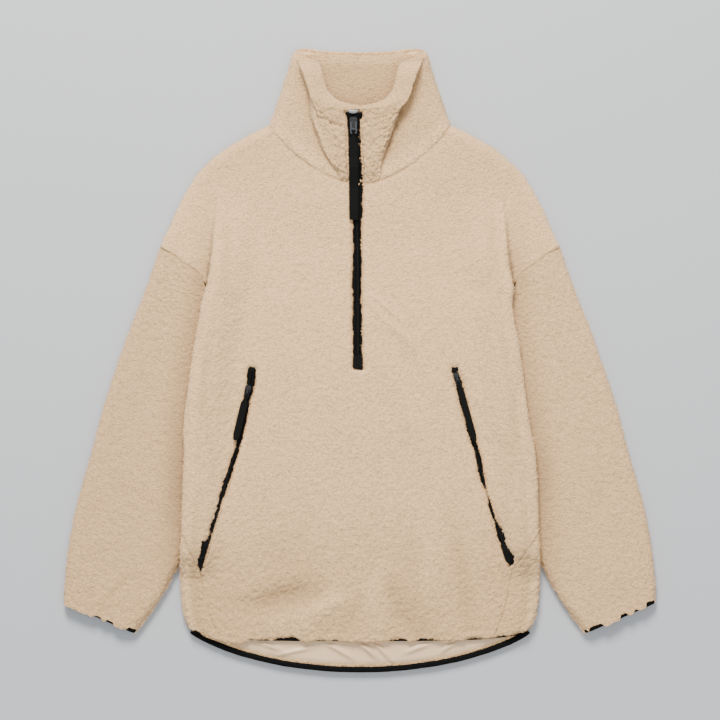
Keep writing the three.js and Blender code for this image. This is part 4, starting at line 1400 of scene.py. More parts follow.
    def back(self) -> None:
        """The back, with its tail turned up at the hem."""
        c = self.cut
        surface = self.half(False, self.back_grid)
        neck = np.array([(-122, 303.4), (-122, 340), (122, 340), (122, 303.4)])
        x = np.linspace(c.neck_half, -c.neck_half, 33)
        surface.cut(np.vstack([neck, np.stack([x, c.back_neck_y(x)], axis=1)]))
        for pocket in c.pockets:
            surface.cut(c.panel_outline(pocket))
        surface.points[:, 2] = np.maximum(surface.points[:, 2], 0.25)
        flat = surface.points[:, 2] < 2
        surface.grow(self.curl, 0.5, 17, 0.0)
        surface.points[flat, 2] = np.maximum(surface.points[flat, 2], 0.02)
        piece = surface.mesh("back_panel_pile", self.cloth.body)
        dress(piece, "garment", Slot.FLEECE, "back_panel")

    def tail_edge(self) -> None:
        """The back's own cloth where it shows above the hem binding."""
        c = self.cut
        x = np.linspace(-206, 206, 330)[:, None]
        inward = np.array([9, 3, 0.4, 0, 0.8, 3, 7, 12]) * 0.9
        level = np.array([0.6, 0.5, 1.6, 4, 6.2, 7.2, 7.5, 7.0])
        y = c.back_hem(x) + c.back_binding - 1.2 + inward
        surface = Surface(np.stack(np.broadcast_arrays(x, y, level), axis=-1)[:, ::-1])
        surface.grow(3.4, 0.5, 29, 0.2)
        surface.points[:, 2] = np.maximum(surface.points[:, 2], 0.05)
        piece = surface.mesh("back_tail_edge", self.cloth.body)
        dress(piece, "garment", Slot.FLEECE)

    def panel(self, pocket: Pocket) -> None:
        """The side panel that wraps round the side fold below a pocket.

        Args:
            pocket: the pocket above it.
        """
        side, outline = pocket.side, self.cut.panel_outline(pocket)
        tops = self.half(True, self.grid, self.panel_top)
        tops.cut(outline - [side * self.lap, 0], keep_inside=True, sewn=True)
        self._finish(tops, 41 + side)
        under = self.half(False, 3.0, self.panel_top)
        under.cut(outline, keep_inside=True)
        under.points[:, 2] = np.maximum(under.points[:, 2], 0.25)
        under.grow(self.curl, 0.3, 19, 0.0)
        under.points[:, 2] = np.maximum(under.points[:, 2], 0.02)
        tops.join(under)
        piece = tops.mesh(f"{pocket.name}_side_panel_pile", self.cloth.body)
        dress(piece, "garment", Slot.FLEECE, f"{pocket.name}_side_panel")

    def build(self) -> None:
        """Makes every panel."""
        self.front()
        self.back()
        self.tail_edge()
        for pocket in self.cut.pockets:
            self.panel(pocket)
        LOG.info("body panels made")


@dataclass
class Sleeve:
    """One flattened sleeve with its bound cuff."""

    cut: Cut
    cloth: Wardrobe
    side: int
    rings: int = 255
    top_points: int = 72
    low_points: int = 26
    length: float = 480
    overhang: float = 2.4
    # How much painted shade lies on the upper face of the right and the left sleeve.
    sleeve_painted_shade: Table = Table("side share", [(-1, 0.40), (1, 0.25)])
    folds: tuple[Ridge, ...] = (
        Ridge(-325, -298, 44, 7, 60, 1.6),
        Ridge(-308, -292, 36, 5, 48, -1.6),
        Ridge(-275, -171, 96, 13, -45, 1.5),
        Ridge(-262, -190, 90, 9, -42, -1.2),
        Ridge(330, -270, 60, 9, 118, 1.4),
        Ridge(300, -190, 110, 12, 50, -1.2),
        Ridge(262, 0, 190, 14, 106, -1.2),
        Ridge(-262, 10, 190, 14, 74, -1.0),
    )
    cuff_cover: Table = Table(
        "share right left",
        [
            (0, 6, -1), (0.11, 6.2, -1), (0.15, 6.2, 4), (0.24, 6, 4.8), (0.27, 6.2, 1.8),
            (0.3, 6.2, 1.8), (0.33, 6, 5.4), (0.385, 6, 5), (0.41, 5.6, 0.2), (0.44, 2.6, 0),
            (0.48, 2.4, 0.4), (0.52, 2.4, 5.4), (0.57, 6, 5.6), (0.6, 2.2, 5.6), (0.68, 1.4, 5.4),
            (0.72, 5.6, 5), (0.745, 5.6, 1), (0.8, 5.2, -0.8), (0.87, 3.6, -1), (0.895, -1, -0.8),
            (0.92, -1.2, 0), (0.94, -1.2, 3.4), (0.957, -1.2, 0.8), (1, -1.2, 0.4),
        ],
    )

    @property
    def name(self) -> str:
        """The wearer's side."""
        return "right" if self.side < 0 else "left"

    def ring(
        self, s: Array, shares: Array, over: Array, inset: float, shorten: Array, tuck: Array
    ) -> Array:
        """Rings of the sleeve.

        Args:
            s: shares of the length, as a column.
            shares: places across the sleeve, as a row, 0 outside and 1 inside.
            over: True for the upper face.
            inset: how far inside the outer face.
            shorten: how far each ring moves towards the cuff.
            tuck: how far its hidden end moves as well.

        Returns:
            Rings by points by three.
        """
        c = self.cut
        at = s * 11
        out = np.stack([c.sleeve.at(at, "out_x"), c.sleeve.at(at, "out_y")], axis=-1)
        inn = np.stack([c.sleeve.at(at, "in_x"), c.sleeve.at(at, "in_y")], axis=-1)
        width = np.linalg.norm(out - inn, axis=-1)
        along = np.stack([out[..., 1] - inn[..., 1], inn[..., 0] - out[..., 0]], axis=-1)
        along /= np.linalg.norm(along, axis=-1, keepdims=True)
        distance = inset + shares * (width - 2 * inset)
        part = distance / width
        p = out * (1 - part[..., None]) + inn * part[..., None]
        near = np.minimum(distance - inset, width - inset - distance)
        half = c.sleeve_height / 2
        rise = (half - inset) * rounded(near, 12 - inset)
        level = lerp(c.armhole_high, c.armhole_low, part)
        straight = lerp(256.0, 197.0, part)
        x = p[..., 0] + (1 - smooth(s * 5)) * (c.armhole.at(level, "x") - straight)
        shift = shorten + tuck * smooth((part - 0.75) / 0.25)
        x = x + along[..., 0] * shift
        y = p[..., 1] + along[..., 1] * shift
        return np.stack([self.side * x, y, half + np.where(over, rise, -rise)], axis=-1)

    @staticmethod
    def _shares(top: int, low: int) -> tuple[Array, Array]:
        """Places round a ring, dense near both folds.

        Args:
            top: how many on the upper face.
            low: how many on the lower face.

        Returns:
            The places across, and which of them are on the upper face, both as rows.
        """
        t = np.concatenate([np.arange(top) / top, 1 - np.arange(low) / low])
        shares = lerp(t, 0.5 - 0.5 * np.cos(np.pi * t), 0.6)
        over = np.arange(top + low) < top
        return shares[None, :], over[None, :]

    def build(self) -> None:
        """Makes the sleeve and its cuff binding."""
        c = self.cut
        shares, over = self._shares(self.top_points, self.low_points)
        s = np.linspace(0, 1, self.rings)[:, None]
        ease = 1 - smooth(s * 8)
        places = rows(shares * 130, over * 50.0)
        stray = Grain.cloud(places, 15, 33 + self.side) * 0.5 + Grain.cloud(places, 3.6, 35) * 0.8
        cover = clamp(self.cuff_cover.at(shares[0], self.name) + stray, -1.4, 7.4)[None, :]
        shorten = ease * -0.8 - smooth((s - 0.9) / 0.1) * (c.cuff_binding - cover)
        points = self.ring(s, shares, over, 0.0, shorten, ease * 5)
        for fold in self.folds:
            points[..., 2] += np.where(over, fold.height(points[..., 0], points[..., 1]), 0)
        if self.side > 0:
            points = points[:, ::-1]
        surface = Surface(points, wrapped=True)
        length = self.length * np.broadcast_to(s, points.shape[:2]).ravel()
        edge = np.minimum(length, self.length - length + self.overhang)
        half = c.sleeve_height / 2
        pinch = (1 - rounded(edge, 4.2)) * np.where(length < self.length / 2, 0.24, 0.42)
        surface.points[:, 2] = half + (surface.points[:, 2] - half) * (1 - pinch)
        resting = surface.points[:, 2] < 2.2
        lying = surface.points[:, 2] > half
        # Painted shade beside the body's side fold, near the armhole seam and over the whole upper face.
        surface.tuck = c.fold_painted_shade(surface.points[:, 0], surface.points[:, 1]) * lying
        surface.seam = np.where(lying, length, FAR)
        surface.paint_seam_shade()
        surface.tuck += self.sleeve_painted_shade.at(self.side, "share") * lying
        surface.grow(4.5, 1.25, 57 + self.side, 0.5, 1.0)
        surface.rest(resting)
        piece = surface.mesh(f"{self.name}_sleeve_pile", self.cloth.body)
        dress(piece, "garment", Slot.FLEECE, f"{self.name}_sleeve")
        self._cuff()
        LOG.info("%s sleeve made", self.name)

    def _cuff(self) -> None:
        """The black binding round the cuff."""
        c = self.cut
        shares, over = self._shares(60, 40)
        one = np.ones((1, 1))
        loops = []
        for turn in np.linspace(0, 2 * math.pi, 10, endpoint=False):
            inset = 2.4 + 1.4 * math.cos(turn)
            short = 0.4 + (c.cuff_binding / 2 + 1.0) * (math.sin(turn) - 1)
            loops.append(self.ring(one, shares, over, inset, one * short, one * 0)[0])
        sections = np.stack(loops, axis=1)
        piece = Maker.sweep(f"{self.name}_cuff_tape", sections, self.cloth.tape, closed=True)
        dress(piece, "garment", Slot.TAPE, f"{self.name}_cuff_binding")


@dataclass
class Collar:
    """The doubled stand collar, pressed open with a pleat at each side of its front."""

    cut: Cut
    cloth: Wardrobe
    crease: float = 0.6
    pleat_foot: float = 25
    roll: float = 13
    outer_points: int = 54
    cap_points: int = 11
    inner_points: int = 40
    rim_half: float = 85.5
    mouth_half: float = 71
    rim_lift: float = 2.2
    foot_lap: float = 0.8
    levels: Table = Table(
        "h front side front_in side_in back_in",
        [
            (0, 23, 23, 16, 16, 7), (0.1, 26, 23.5, 16.5, 14, 8.5), (0.25, 30, 23.5, 18, 12.3, 11),
            (0.42, 32.5, 24, 19.5, 12.3, 11), (0.6, 34.5, 24.5, 21, 12.6, 11),
            (0.78, 37, 26, 24, 13.5, 11), (0.92, 39, 29, 28, 17, 11), (1, 39.5, 31, 31, 21, 11),
        ],
    )
    rim: Table = Table(
        "t out_x out_y in_x in_y",
        [
            (0, 0, 319.5, 0, 325.5), (0.22, 30, 321.5, 27, 332.5), (0.38, 54, 326, 39.5, 344),
            (0.47, 63.5, 338, 44, 354), (0.54, 71, 360, 47, 367), (0.6, 80, 381, 52, 380),
            (0.8, 84, 388, 64, 385), (1, 85.5, 391, 71, 388),
        ],
    )
    back_rim: Table = Table(
        "x out_y in_y",
        [
            (0, 390, 389), (0.55, 392, 390.5), (0.78, 395, 391.5), (0.92, 394.5, 390.5),
            (1, 391, 388),
        ],
    )

    furrows: tuple[Ridge, ...] = (
        Ridge(-36, 303, 26, 2.2, -20, -2.4), Ridge(9, 303, 18, 2.2, 22, -2.2),
    )

    @staticmethod
    def lean(t: Array, h: Array) -> Array:
        """How far the front's pleats lie towards the right sleeve, below 0.

        Args:
            t: places round the front from -1 to 1.
            h: shares of the height.

        Returns:
            The distance in millimetres.
        """
        right = -8.6 * smooth(h / 0.32) * (1 - smooth((h - 0.5) / 0.25))
        left = -6.4 * smooth(h / 0.25) * (1 - smooth((h - 0.86) / 0.14))
        return lerp(right, left, smooth(t * 4 + 0.5))

    def profile(self, t: Array, front: bool) -> Array:
        """Profiles of the collar, up the outer face, over the rim and down inside.

        Args:
            t: places round the collar from -1 to 1, as a column.
            front: the front half in place of the back.

        Returns:
            Places by profile points by three.
        """
        c = self.cut
        size, side = np.abs(t), np.where(t < 0, -1.0, 1.0)
        if front:
            foot_x = np.where(
                size < self.crease,
                self.pleat_foot * size / self.crease,
                lerp(self.pleat_foot, c.neck_half, (size - self.crease) / (1 - self.crease)),
            )
            foot_y = c.neck_y(foot_x) - self.foot_lap
            lift = self.rim_lift * smooth((size - 0.45) / 0.2)
            out_x, in_x = self.rim.at(size, "out_x"), self.rim.at(size, "in_x")
            out_y, in_y = self.rim.at(size, "out_y") + lift, self.rim.at(size, "in_y") + lift
        else:
            foot_x = size * c.neck_half
            foot_y = c.back_neck_y(foot_x) - self.foot_lap
            out_x, in_x = size * self.rim_half, size * self.mouth_half
            out_y = self.back_rim.at(size, "out_y") + self.rim_lift
            in_y = self.back_rim.at(size, "in_y") + self.rim_lift
        foot_in = np.minimum(foot_x, c.neck_half - 9)
        h = np.linspace(0, 1, self.outer_points)[None, :]
        x, y = lerp(foot_x, out_x, h), lerp(foot_y, out_y, h)
        middle = self.levels.at(h, "side") / 2
        share = rounded(lerp(c.neck_half, self.rim_half, h) - x, self.roll)
        if front:
            pleat = smooth((self.crease + 0.01 - size) / 0.06)
            base = lerp(c.top(side * x, y), self.levels.at(h, "side"), smooth(h / 0.12))
            high = lerp(base, np.maximum(base, self.levels.at(h, "front")), pleat)
            z = middle + (high - middle) * share
        else:
            z = middle - middle * share
        outer = np.stack([side * x, y, z], axis=-1)
        h = np.linspace(1, 0, self.inner_points)[None, :]
        x, y = lerp(foot_in, in_x, h), lerp(foot_y, in_y, h)
        pleat = smooth((self.crease + 0.04 - size) / 0.12)
        share = rounded((1 - size) * 60, 12)
        low = self.levels.at(h, "back_in")
        high = lerp(self.levels.at(h, "side_in"), self.levels.at(h, "front_in"), pleat)
        middle = (low + self.levels.at(h, "side_in")) / 2
        z = middle + ((high if front else low) - middle) * share
        inner = np.stack([side * x, y, z], axis=-1)
        over = (1 - smooth((size - 0.75) / 0.25)) if front else np.zeros_like(size)
        u = np.linspace(0, 1, self.cap_points + 2)[None, 1:-1]
        share = lerp((1 - np.cos(math.pi * u)) / 2, u, over)
        tip, lip = outer[:, -1:], inner[:, :1]
        cap = lerp(tip, lip, share[..., None])
        cap[..., 1] += np.sin(math.pi * u) * (1 - over) * 5.4
        cap[..., 2] += 4 * u * (1 - u) * over * 2.6
        return np.concatenate([outer, cap, inner], axis=1)

    def build(self) -> None:
        """Makes the collar as one ring of closed profiles."""
        c = self.cut
        half = np.concatenate([
            np.linspace(0, 0.5, 34, endpoint=False), np.linspace(0.5, 0.66, 26, endpoint=False),
            np.linspace(0.66, 1, 40),
        ])
        front_t = np.concatenate([-half[::-1], half[1:]])[:, None]
        back_t = np.linspace(1, -1, 112)[1:-1, None]
        front, back = self.profile(front_t, True), self.profile(back_t, False)
        outer = front[:, : self.outer_points]
        for fold in self.furrows:
            outer[..., 2] += fold.height(outer[..., 0], outer[..., 1])
        up = np.linspace(0, 1, self.outer_points)[None, :]
        outer[..., 0] += self.lean(front_t, up) * (1 - smooth((np.abs(front_t) - 0.62) / 0.3))
        points = np.concatenate([front, back, front[:1]], axis=0)
        # Painted shade beside the pleats, on the rim and inside the opening.
        tuck = np.concatenate([self._paint_pleat_shade(front_t, front), self._inner_shade(back)], axis=0)
        surface = Surface(points[::-1])
        surface.tuck = np.concatenate([tuck, tuck[:1]], axis=0)[::-1].ravel()
        step = np.arange(points.shape[1])
        foot = np.tile(np.minimum(step, step[::-1]) * 1.8, len(points))
        surface.seam = np.where(surface.points[:, 2] > 15, foot, FAR)
        inside = self._slot(surface)
        surface.dip(np.where(foot < 6, 1.5, 2.6), 4.5)
        surface.paint_seam_shade()
        surface.points[inside, 2] -= 1.0
        x, y, z = surface.points.T
        between = smooth(1 - (np.abs(x) - 24 - (y - 240) * 0.36) / 10)
        knobs = between * (z > 20) * smooth((335 - y) / 12)
        resting = z < 2
        surface.grow(4.2, 0.6 + 2.1 * knobs, 83, 0.5, knobs)
        # Deepens the painted shade in the crevices of the knobbly curls.
        surface.pile = clamp(surface.pile * (1 + 0.3 * knobs) - 0.3 * knobs)
        surface.rest(resting)
        piece = surface.mesh("collar_pile", self.cloth.collar)
        dress(piece, "garment", Slot.FLEECE, "collar")
        LOG.info("collar made")

    def _paint_pleat_shade(self, t: Array, points: Array) -> Array:
        """Painted shade beside the front's pleats, on its rolled rim and between them.

        Args:
            t: places round the front from -1 to 1, as a column.
            points: the front's profiles.

        Returns:
            The shade at each profile point.
        """
        size = np.abs(t)
        h = clamp(np.arange(points.shape[1])[None, :] / (self.outer_points - 1))
        line = lerp(self.pleat_foot, self.rim.at(np.array(self.crease), "out_x"), h)
        past = np.maximum(np.abs(points[..., 0] - self.lean(t, h)) - line, 0)
        near = 0.85 * np.exp(-past / 2.2) + 0.48 * np.exp(-past / 11) + 0.38
        near = near * smooth((h - 0.06) / 0.2) * (1 - 0.6 * smooth((h - 0.8) / 0.2))
        near = near * (size > self.crease) * np.where(t > 0, 1.25, 0.9)
        rim = 0.26 * smooth((h - 0.86) / 0.1) * (size < self.crease + 0.02)
        return near + rim + 0.24 * (size <= self.crease)

    def _inner_shade(self, points: Array) -> Array:
        """Painted shade inside the opening, deepest under its rim.

        Args:
            points: the back's profiles.

        Returns:
            The shade at each profile point.
        """
        size = np.linspace(0, 1, 90)
        first = self.outer_points + self.cap_points
        x, y = points[:, first:, :1], points[:, first:, 1:2]
        away = np.hypot(np.abs(x) - self.rim.at(size, "in_x"), y - self.rim.at(size, "in_y"))
        shade = np.zeros(points.shape[:2])
        shade[:, first:] = 0.88 + 0.30 * np.exp(-away.min(axis=-1) / 4.5)
        shade[:, first:] *= 1 - 0.5 * smooth((y[..., 0] - 376) / 12)
        return shade

    def _slot(self, surface: Surface) -> Array:
        """Rounds the pile down at the sides of the centre zip's slot.

        Args:
            surface: the collar, whose edges are set here.

        Returns:
            Which points are inside the slot, under the tape.
        """
        slot = self.cut.zip_outline(1.4)
        gap, _, inside = Surface.nearest(surface.points[:, :2], slot[slot[:, 1] > 150])
        _, y, z = surface.points.T
        near = (z > 21.5 + 0.06 * np.maximum(y - 240, 0)) & (y < 318)
        gap = np.where(inside, 0.0, gap)
        surface.edge = np.where(near, np.minimum(surface.seam, gap), surface.seam)
        return near & inside


@dataclass
class Fibres:
    """Loose curled fibres that stand out along the edges of the pile."""

    cut: Cut
    cloth: Wardrobe
    seed: int = 7
    roots: list[Array] = field(default_factory=list)
    ways: list[Array] = field(default_factory=list)
    sizes: list[Array] = field(default_factory=list)

    def along(
        self, path: Array, outward: Array, per_mm: float, length: float, back: float = 2.0, drop: float = 2.5,
        rise: float = 0.35,
    ) -> None:
        """Adds fibres along a path.

        Args:
            path: points on the edge, one row each.
            outward: unit directions away from the cloth at those points.
            per_mm: fibres for each millimetre.
            length: usual length of a fibre.
            back: how far back from the edge they may start.
            drop: how far below the edge they may start.
            rise: how much they point up.
        """
        self.seed += 1
        rng = np.random.default_rng(self.seed)
        run = np.concatenate([[0], np.cumsum(np.linalg.norm(np.diff(path, axis=0), axis=1))])
        count = int(run[-1] * per_mm)
        at = rng.uniform(0, run[-1], count)
        root = np.stack([np.interp(at, run, path[:, k]) for k in range(3)], axis=1)
        away = np.stack([np.interp(at, run, outward[:, k]) for k in range(3)], axis=1)
        away /= np.maximum(np.linalg.norm(away, axis=1, keepdims=True), 1e-9)
        share = rng.uniform(0, 1, count)
        root -= away * (share * back)[:, None]
        root[:, 2] -= rng.uniform(0, 1, count) * drop * (1 - share)
        side = np.stack([-away[:, 1], away[:, 0], 0 * at], axis=1)
        yaw = rng.normal(0, 0.55, count)[:, None]
        way = away + side * yaw
        way[:, 2] += rise + rng.normal(0, 0.3, count)
        way /= np.linalg.norm(way, axis=1, keepdims=True)
        clump = 0.75 + 0.45 * Grain.cloud(root, 5.0, 91)
        self.roots.append(root)
        self.ways.append(way)
        self.sizes.append(length * rng.uniform(0.45, 1.25, count) * clump)

    def make(self, name: str, slot: Slot = Slot.FLEECE) -> bpy.types.Object:
        """Turns the fibres gathered so far into one mesh.

        Args:
            name: the piece's name.
            slot: its material slot.

        Returns:
            The new object.
        """
        root, way = np.vstack(self.roots), np.vstack(self.ways)
        size = np.concatenate(self.sizes)
        self.roots, self.ways, self.sizes = [], [], []
        rng = np.random.default_rng(self.seed * 31)
        up = rng.normal(0, 0.5, root.shape) + [0, 0, 1]
        wide = np.cross(way, up)
        wide /= np.linalg.norm(wide, axis=1, keepdims=True)
        bent = np.cross(wide, way) * rng.normal(0.0, 0.5, len(size))[:, None]
        curl = bent + wide * rng.normal(0, 0.6, len(size))[:, None]
        points, pile = [], []
        for u, half in ((0.0, 0.26), (0.4, 0.24), (0.75, 0.17), (1.0, 0.03)):
            middle = root + way * (size * u)[:, None] + curl * (size * u * u * 0.6)[:, None]
            points += [middle - wide * half, middle + wide * half]
            # A low pile value towards each fibre's root paints shade there.
            pile += [np.full(len(size), 0.7 + 0.3 * u)] * 2
        grid = np.stack(points, axis=1)
        grid[..., 2] = np.maximum(grid[..., 2], 0.05)
        base = np.arange(len(size))[:, None] * 8
        quads = np.concatenate([base + np.array([k, k + 1, k + 3, k + 2]) for k in (0, 2, 4)])
        data = bpy.data.meshes.new(name)
        data.from_pydata(grid.reshape(-1, 3) * MM, [], quads.tolist())
        data.attributes.new("pile", "FLOAT", "POINT").data.foreach_set(
            "value", np.stack(pile, axis=1).ravel().astype(np.float32)
        )
        LOG.info("%s: %d fibres", name, len(size))
        return dress(Maker.place(data, name, self.cloth.fibre), "garment", slot)

    @staticmethod
    def sideways(line: Array) -> Array:
        """Unit directions to the left of a plan line."""
        ahead = np.gradient(line[:, :2], axis=0)
        ahead /= np.maximum(np.linalg.norm(ahead, axis=1, keepdims=True), 1e-9)
        return np.stack([-ahead[:, 1], ahead[:, 0], 0 * ahead[:, 0]], axis=1)

    def body(self) -> None:
        """Fibres at the side folds, the shoulders and the hem."""
        c = self.cut
        for side in (-1, 1):
            y = np.linspace(-346, 96, 220)
            middle = (c.underside(c.body.at(y, "half"), y) + c.plain_top(c.body.at(y, "half"), y)) / 2
            line = np.stack([side * c.body.at(y, "half") + c.sway(y), y, middle + 2], axis=1)
            out = np.stack([side + 0 * y, 0 * y, 0 * y], axis=1)
            line[:, 1] += (1 - smooth((y - c.hem_side) / 150)) ** 1.2 * (c.hem_edge(line[:, 0]) - c.hem_side)
            self.along(line, out, 6, 2.6, 2.5, 5)
            y = np.linspace(148, 301, 120)
            line = np.stack([side * c.shoulder.at(y, "half"), y, 8.5 + 0 * y], axis=1)
            out = self.sideways(line) * (-side)
            self.along(line, out, 7, 2.6, 2.5, 4)
        x = np.linspace(-214, 214, 260)
        line = np.stack([x, c.hem_edge(x), c.top(x, c.front_hem(x) + 6) - 1.6], axis=1)
        self.along(line, np.stack([0 * x, 0 * x - 1, 0 * x], axis=1), 5, 2.2, 1.5, 1.5, 0.0)
        x = np.linspace(-200, 200, 200)
        line = np.stack([x, c.back_hem(x) + c.back_binding - 0.6, 6.6 + 0 * x], axis=1)
        self.along(line, np.stack([0 * x, 0 * x - 1, 0 * x], axis=1), 3, 1.5, 1.0, 1.0, 0.3)
        self.make("body_edge_fibres")

    def sleeves(self) -> None:
        """Fibres down both edges of the sleeves and round the cuffs."""
        c = self.cut
        for side in (-1, 1):
            at = np.linspace(0.02, 11, 260)
            outer = rows(side * c.sleeve.at(at, "out_x"), c.sleeve.at(at, "out_y"), 9.0)
            self.along(outer, self.sideways(outer) * side, 7, 2.6, 2.5, 4)
            at = np.linspace(7.2, 11, 120)
            inner = rows(side * c.sleeve.at(at, "in_x"), c.sleeve.at(at, "in_y"), 9.0)
            self.along(inner, self.sideways(inner) * -side, 7, 2.6, 2.5, 4)
            share = np.linspace(0.02, 0.98, 120)
            ends = lerp(outer[-1], inner[-1], share[:, None])
            along = np.array([outer[-1, 1] - inner[-1, 1], inner[-1, 0] - outer[-1, 0], 0.0]) * side
            along /= np.linalg.norm(along)
            ends = ends - along * 2.2 + [0, 0, 4.6]
            covered = Sleeve.cuff_cover.at(share, "right" if side < 0 else "left") > 3.6
            for part in np.split(np.arange(len(share)), np.flatnonzero(np.diff(covered)) + 1):
                if covered[part[0]] and len(part) > 1:
                    self.along(ends[part], np.repeat(along[None], len(part), axis=0), 5, 2.4, 2.0, 1.5, 0.0)
        self.make("sleeve_edge_fibres")

    def collar(self) -> None:
        """Fibres round the collar's outline and its rim."""
        for side in (-1, 1):
            line = np.array([(116, 303, 11), (101, 345, 13), (92, 372, 14), (86, 392, 17)], float) * [side, 1, 1]
            self.along(line, self.sideways(line) * -side, 7, 2.6, 2.0, 4)
        x = np.linspace(-1, 1, 60)
        rim = Collar.back_rim
        line = np.stack([x * 85.5, rim.at(np.abs(x), "out_y") + 5.0, 12 + 0 * x], axis=1)
        away = np.stack([0 * x, 0 * x + 1, 0 * x], axis=1)
        self.along(line, away, 7, 2.4, 2.0, 4)
        self.along(line - [0, 0.9, 3], away, 7, 2.4, 1.5, 4, 0.15)
        self.make("collar_edge_fibres")

    def zips(self, height: Callable[[Array, Array], Array]) -> None:
        """Fibres that stray over the tapes of the zips.

        Args:
            height: height of the cloth along the centre zip.
        """
        c = self.cut
        y = np.linspace(c.zip_bottom + 2, 316, 220)
        edges = []
        for key, hand in (("left", 1), ("right", -1)):
            x = c.slot.at(y, key) - hand * 0.4
            edges.append((np.stack([x, y], axis=1), height(x, y), hand))
        for pocket in c.pockets:
            s = np.linspace(0.01, 0.99, 160)
            line = pocket.point(s)
            for key, hand in (("left", -1), ("right", 1)):
                edge = beside(line, pocket.slot.at(s, key) + hand * 0.6)
                edges.append((edge, c.top(line[:, 0], line[:, 1]), hand))
        for line, z, hand in edges:
            edge = np.column_stack([line, z - 1.0])
            self.along(edge, self.sideways(line) * -hand, 5, 2.6, 1.4, 1.2, 0.15)
        self.make("zip_edge_fibres")

    def build(self, height: Callable[[Array, Array], Array]) -> None:
        """Makes every fringe of fibres.

        Args:
            height: height of the cloth along the centre zip.
        """
        self.body()
        self.sleeves()
        self.collar()
        self.zips(height)


@dataclass
class Lining:
    """The woven lining where it shows inside the back, between the two hems."""

    cut: Cut
    cloth: Wardrobe
    folds: tuple[Ridge, ...] = (
        Ridge(-128, -360, 60, 3, 158, 1.6), Ridge(-84, -372, 44, 2.6, 12, 1.4),
        Ridge(-28, -370, 46, 3, 150, 1.8), Ridge(6, -366, 44, 3.6, 138, 2.6),
        Ridge(26, -368, 40, 3, 132, 2), Ridge(78, -366, 46, 3.2, 22, 1.8),
        Ridge(120, -362, 40, 3, 34, 1.8),
    )

    def build(self) -> None:
        """Makes the lining's sheet with its creases."""
        c = self.cut
        x = np.linspace(-190, 190, 320)[None, :]
        share = np.linspace(0, 1, 44)[:, None]
        low = c.back_hem(x) + c.back_binding + 3.6
        y = lerp(-318, low, share)
        shown = smooth((c.front_hem(x) - 1 - y) / 8)
        z = 8.3 + shown * np.maximum(0, 1.7 * sum(fold.height(x, y) for fold in self.folds))
        edge = smooth((y - low) / 3)
        flat = rows(x, y, z)
        slack = Grain.cloud(flat * [1, 0.4, 1], 16, 5) * 0.35 + Grain.cloud(flat, 6, 8) * 0.12
        z = z + slack.reshape(z.shape) * shown - 0.9 * (1 - edge)
        surface = Surface(np.stack([x + 0 * y, y, z], axis=-1)[::-1])
        piece = surface.mesh("back_lining_cloth", self.cloth.lining)
        dress(piece, "garment", Slot.LINING, "back_lining")
        LOG.info("lining made")


@dataclass
class Bindings:
    """The black tapes folded over both hems."""

    cut: Cut
    cloth: Wardrobe

    def _tape(
        self, name: str, curve: Callable[[Array], Array], half: float, wide: tuple[float, float],
        level: tuple[float, float], node: str,
    ) -> None:
        """One binding along a hem.

        Args:
            name: the piece's name.
            curve: level of the hem at each place across.
            half: half of its length across.
            wide: how far it reaches outside and inside the hem's curve.
            level: its lowest and highest level.
            node: the solid that it stands for.
        """
        low, high = level
        x = np.linspace(-half, half, 300)
        slope = (curve(x + 1) - curve(x - 1)) / 2
        long = np.hypot(1, slope)
        away = np.stack([-slope, np.ones_like(slope)], axis=1) / long[:, None]
        turns = np.linspace(0, 2 * math.pi, 16, endpoint=False)
        c, s = np.cos(turns), np.sin(turns)
        square = (np.abs(c) ** 4 + np.abs(s) ** 4) ** -0.25
        places = np.stack([x, curve(x), 0 * x], axis=1)
        wobble = Grain.cloud(places, 14, 3) * 0.35
        tuck = Grain.cloud(places, 5, 9) * 0.18
        inward = (sum(wide) / 2) * (1 + c * square)[None, :] - wide[0] + wobble[:, None]
        z = (low + high) / 2 + ((high - low) / 2 + tuck[:, None]) * (s * square)[None, :]
        points = np.stack(
            [x[:, None] + away[:, :1] * inward, curve(x)[:, None] + away[:, 1:] * inward, np.maximum(z, 0.05)],
            axis=-1,
        )
        piece = Maker.sweep(name, points, self.cloth.tape)
        dress(piece, "garment", Slot.TAPE, node)

    def build(self) -> None:
        """Makes both hem bindings."""
        c = self.cut
        self._tape("back_hem_tape", c.back_hem, 217.5, (1.6, 6.3), (0.2, 7.8), "back_hem_binding")
        self._tape("front_hem_tape", c.front_hem, 212, (0.4, 4.8), (9.2, 13.4), "front_hem_binding")
        LOG.info("bindings made")


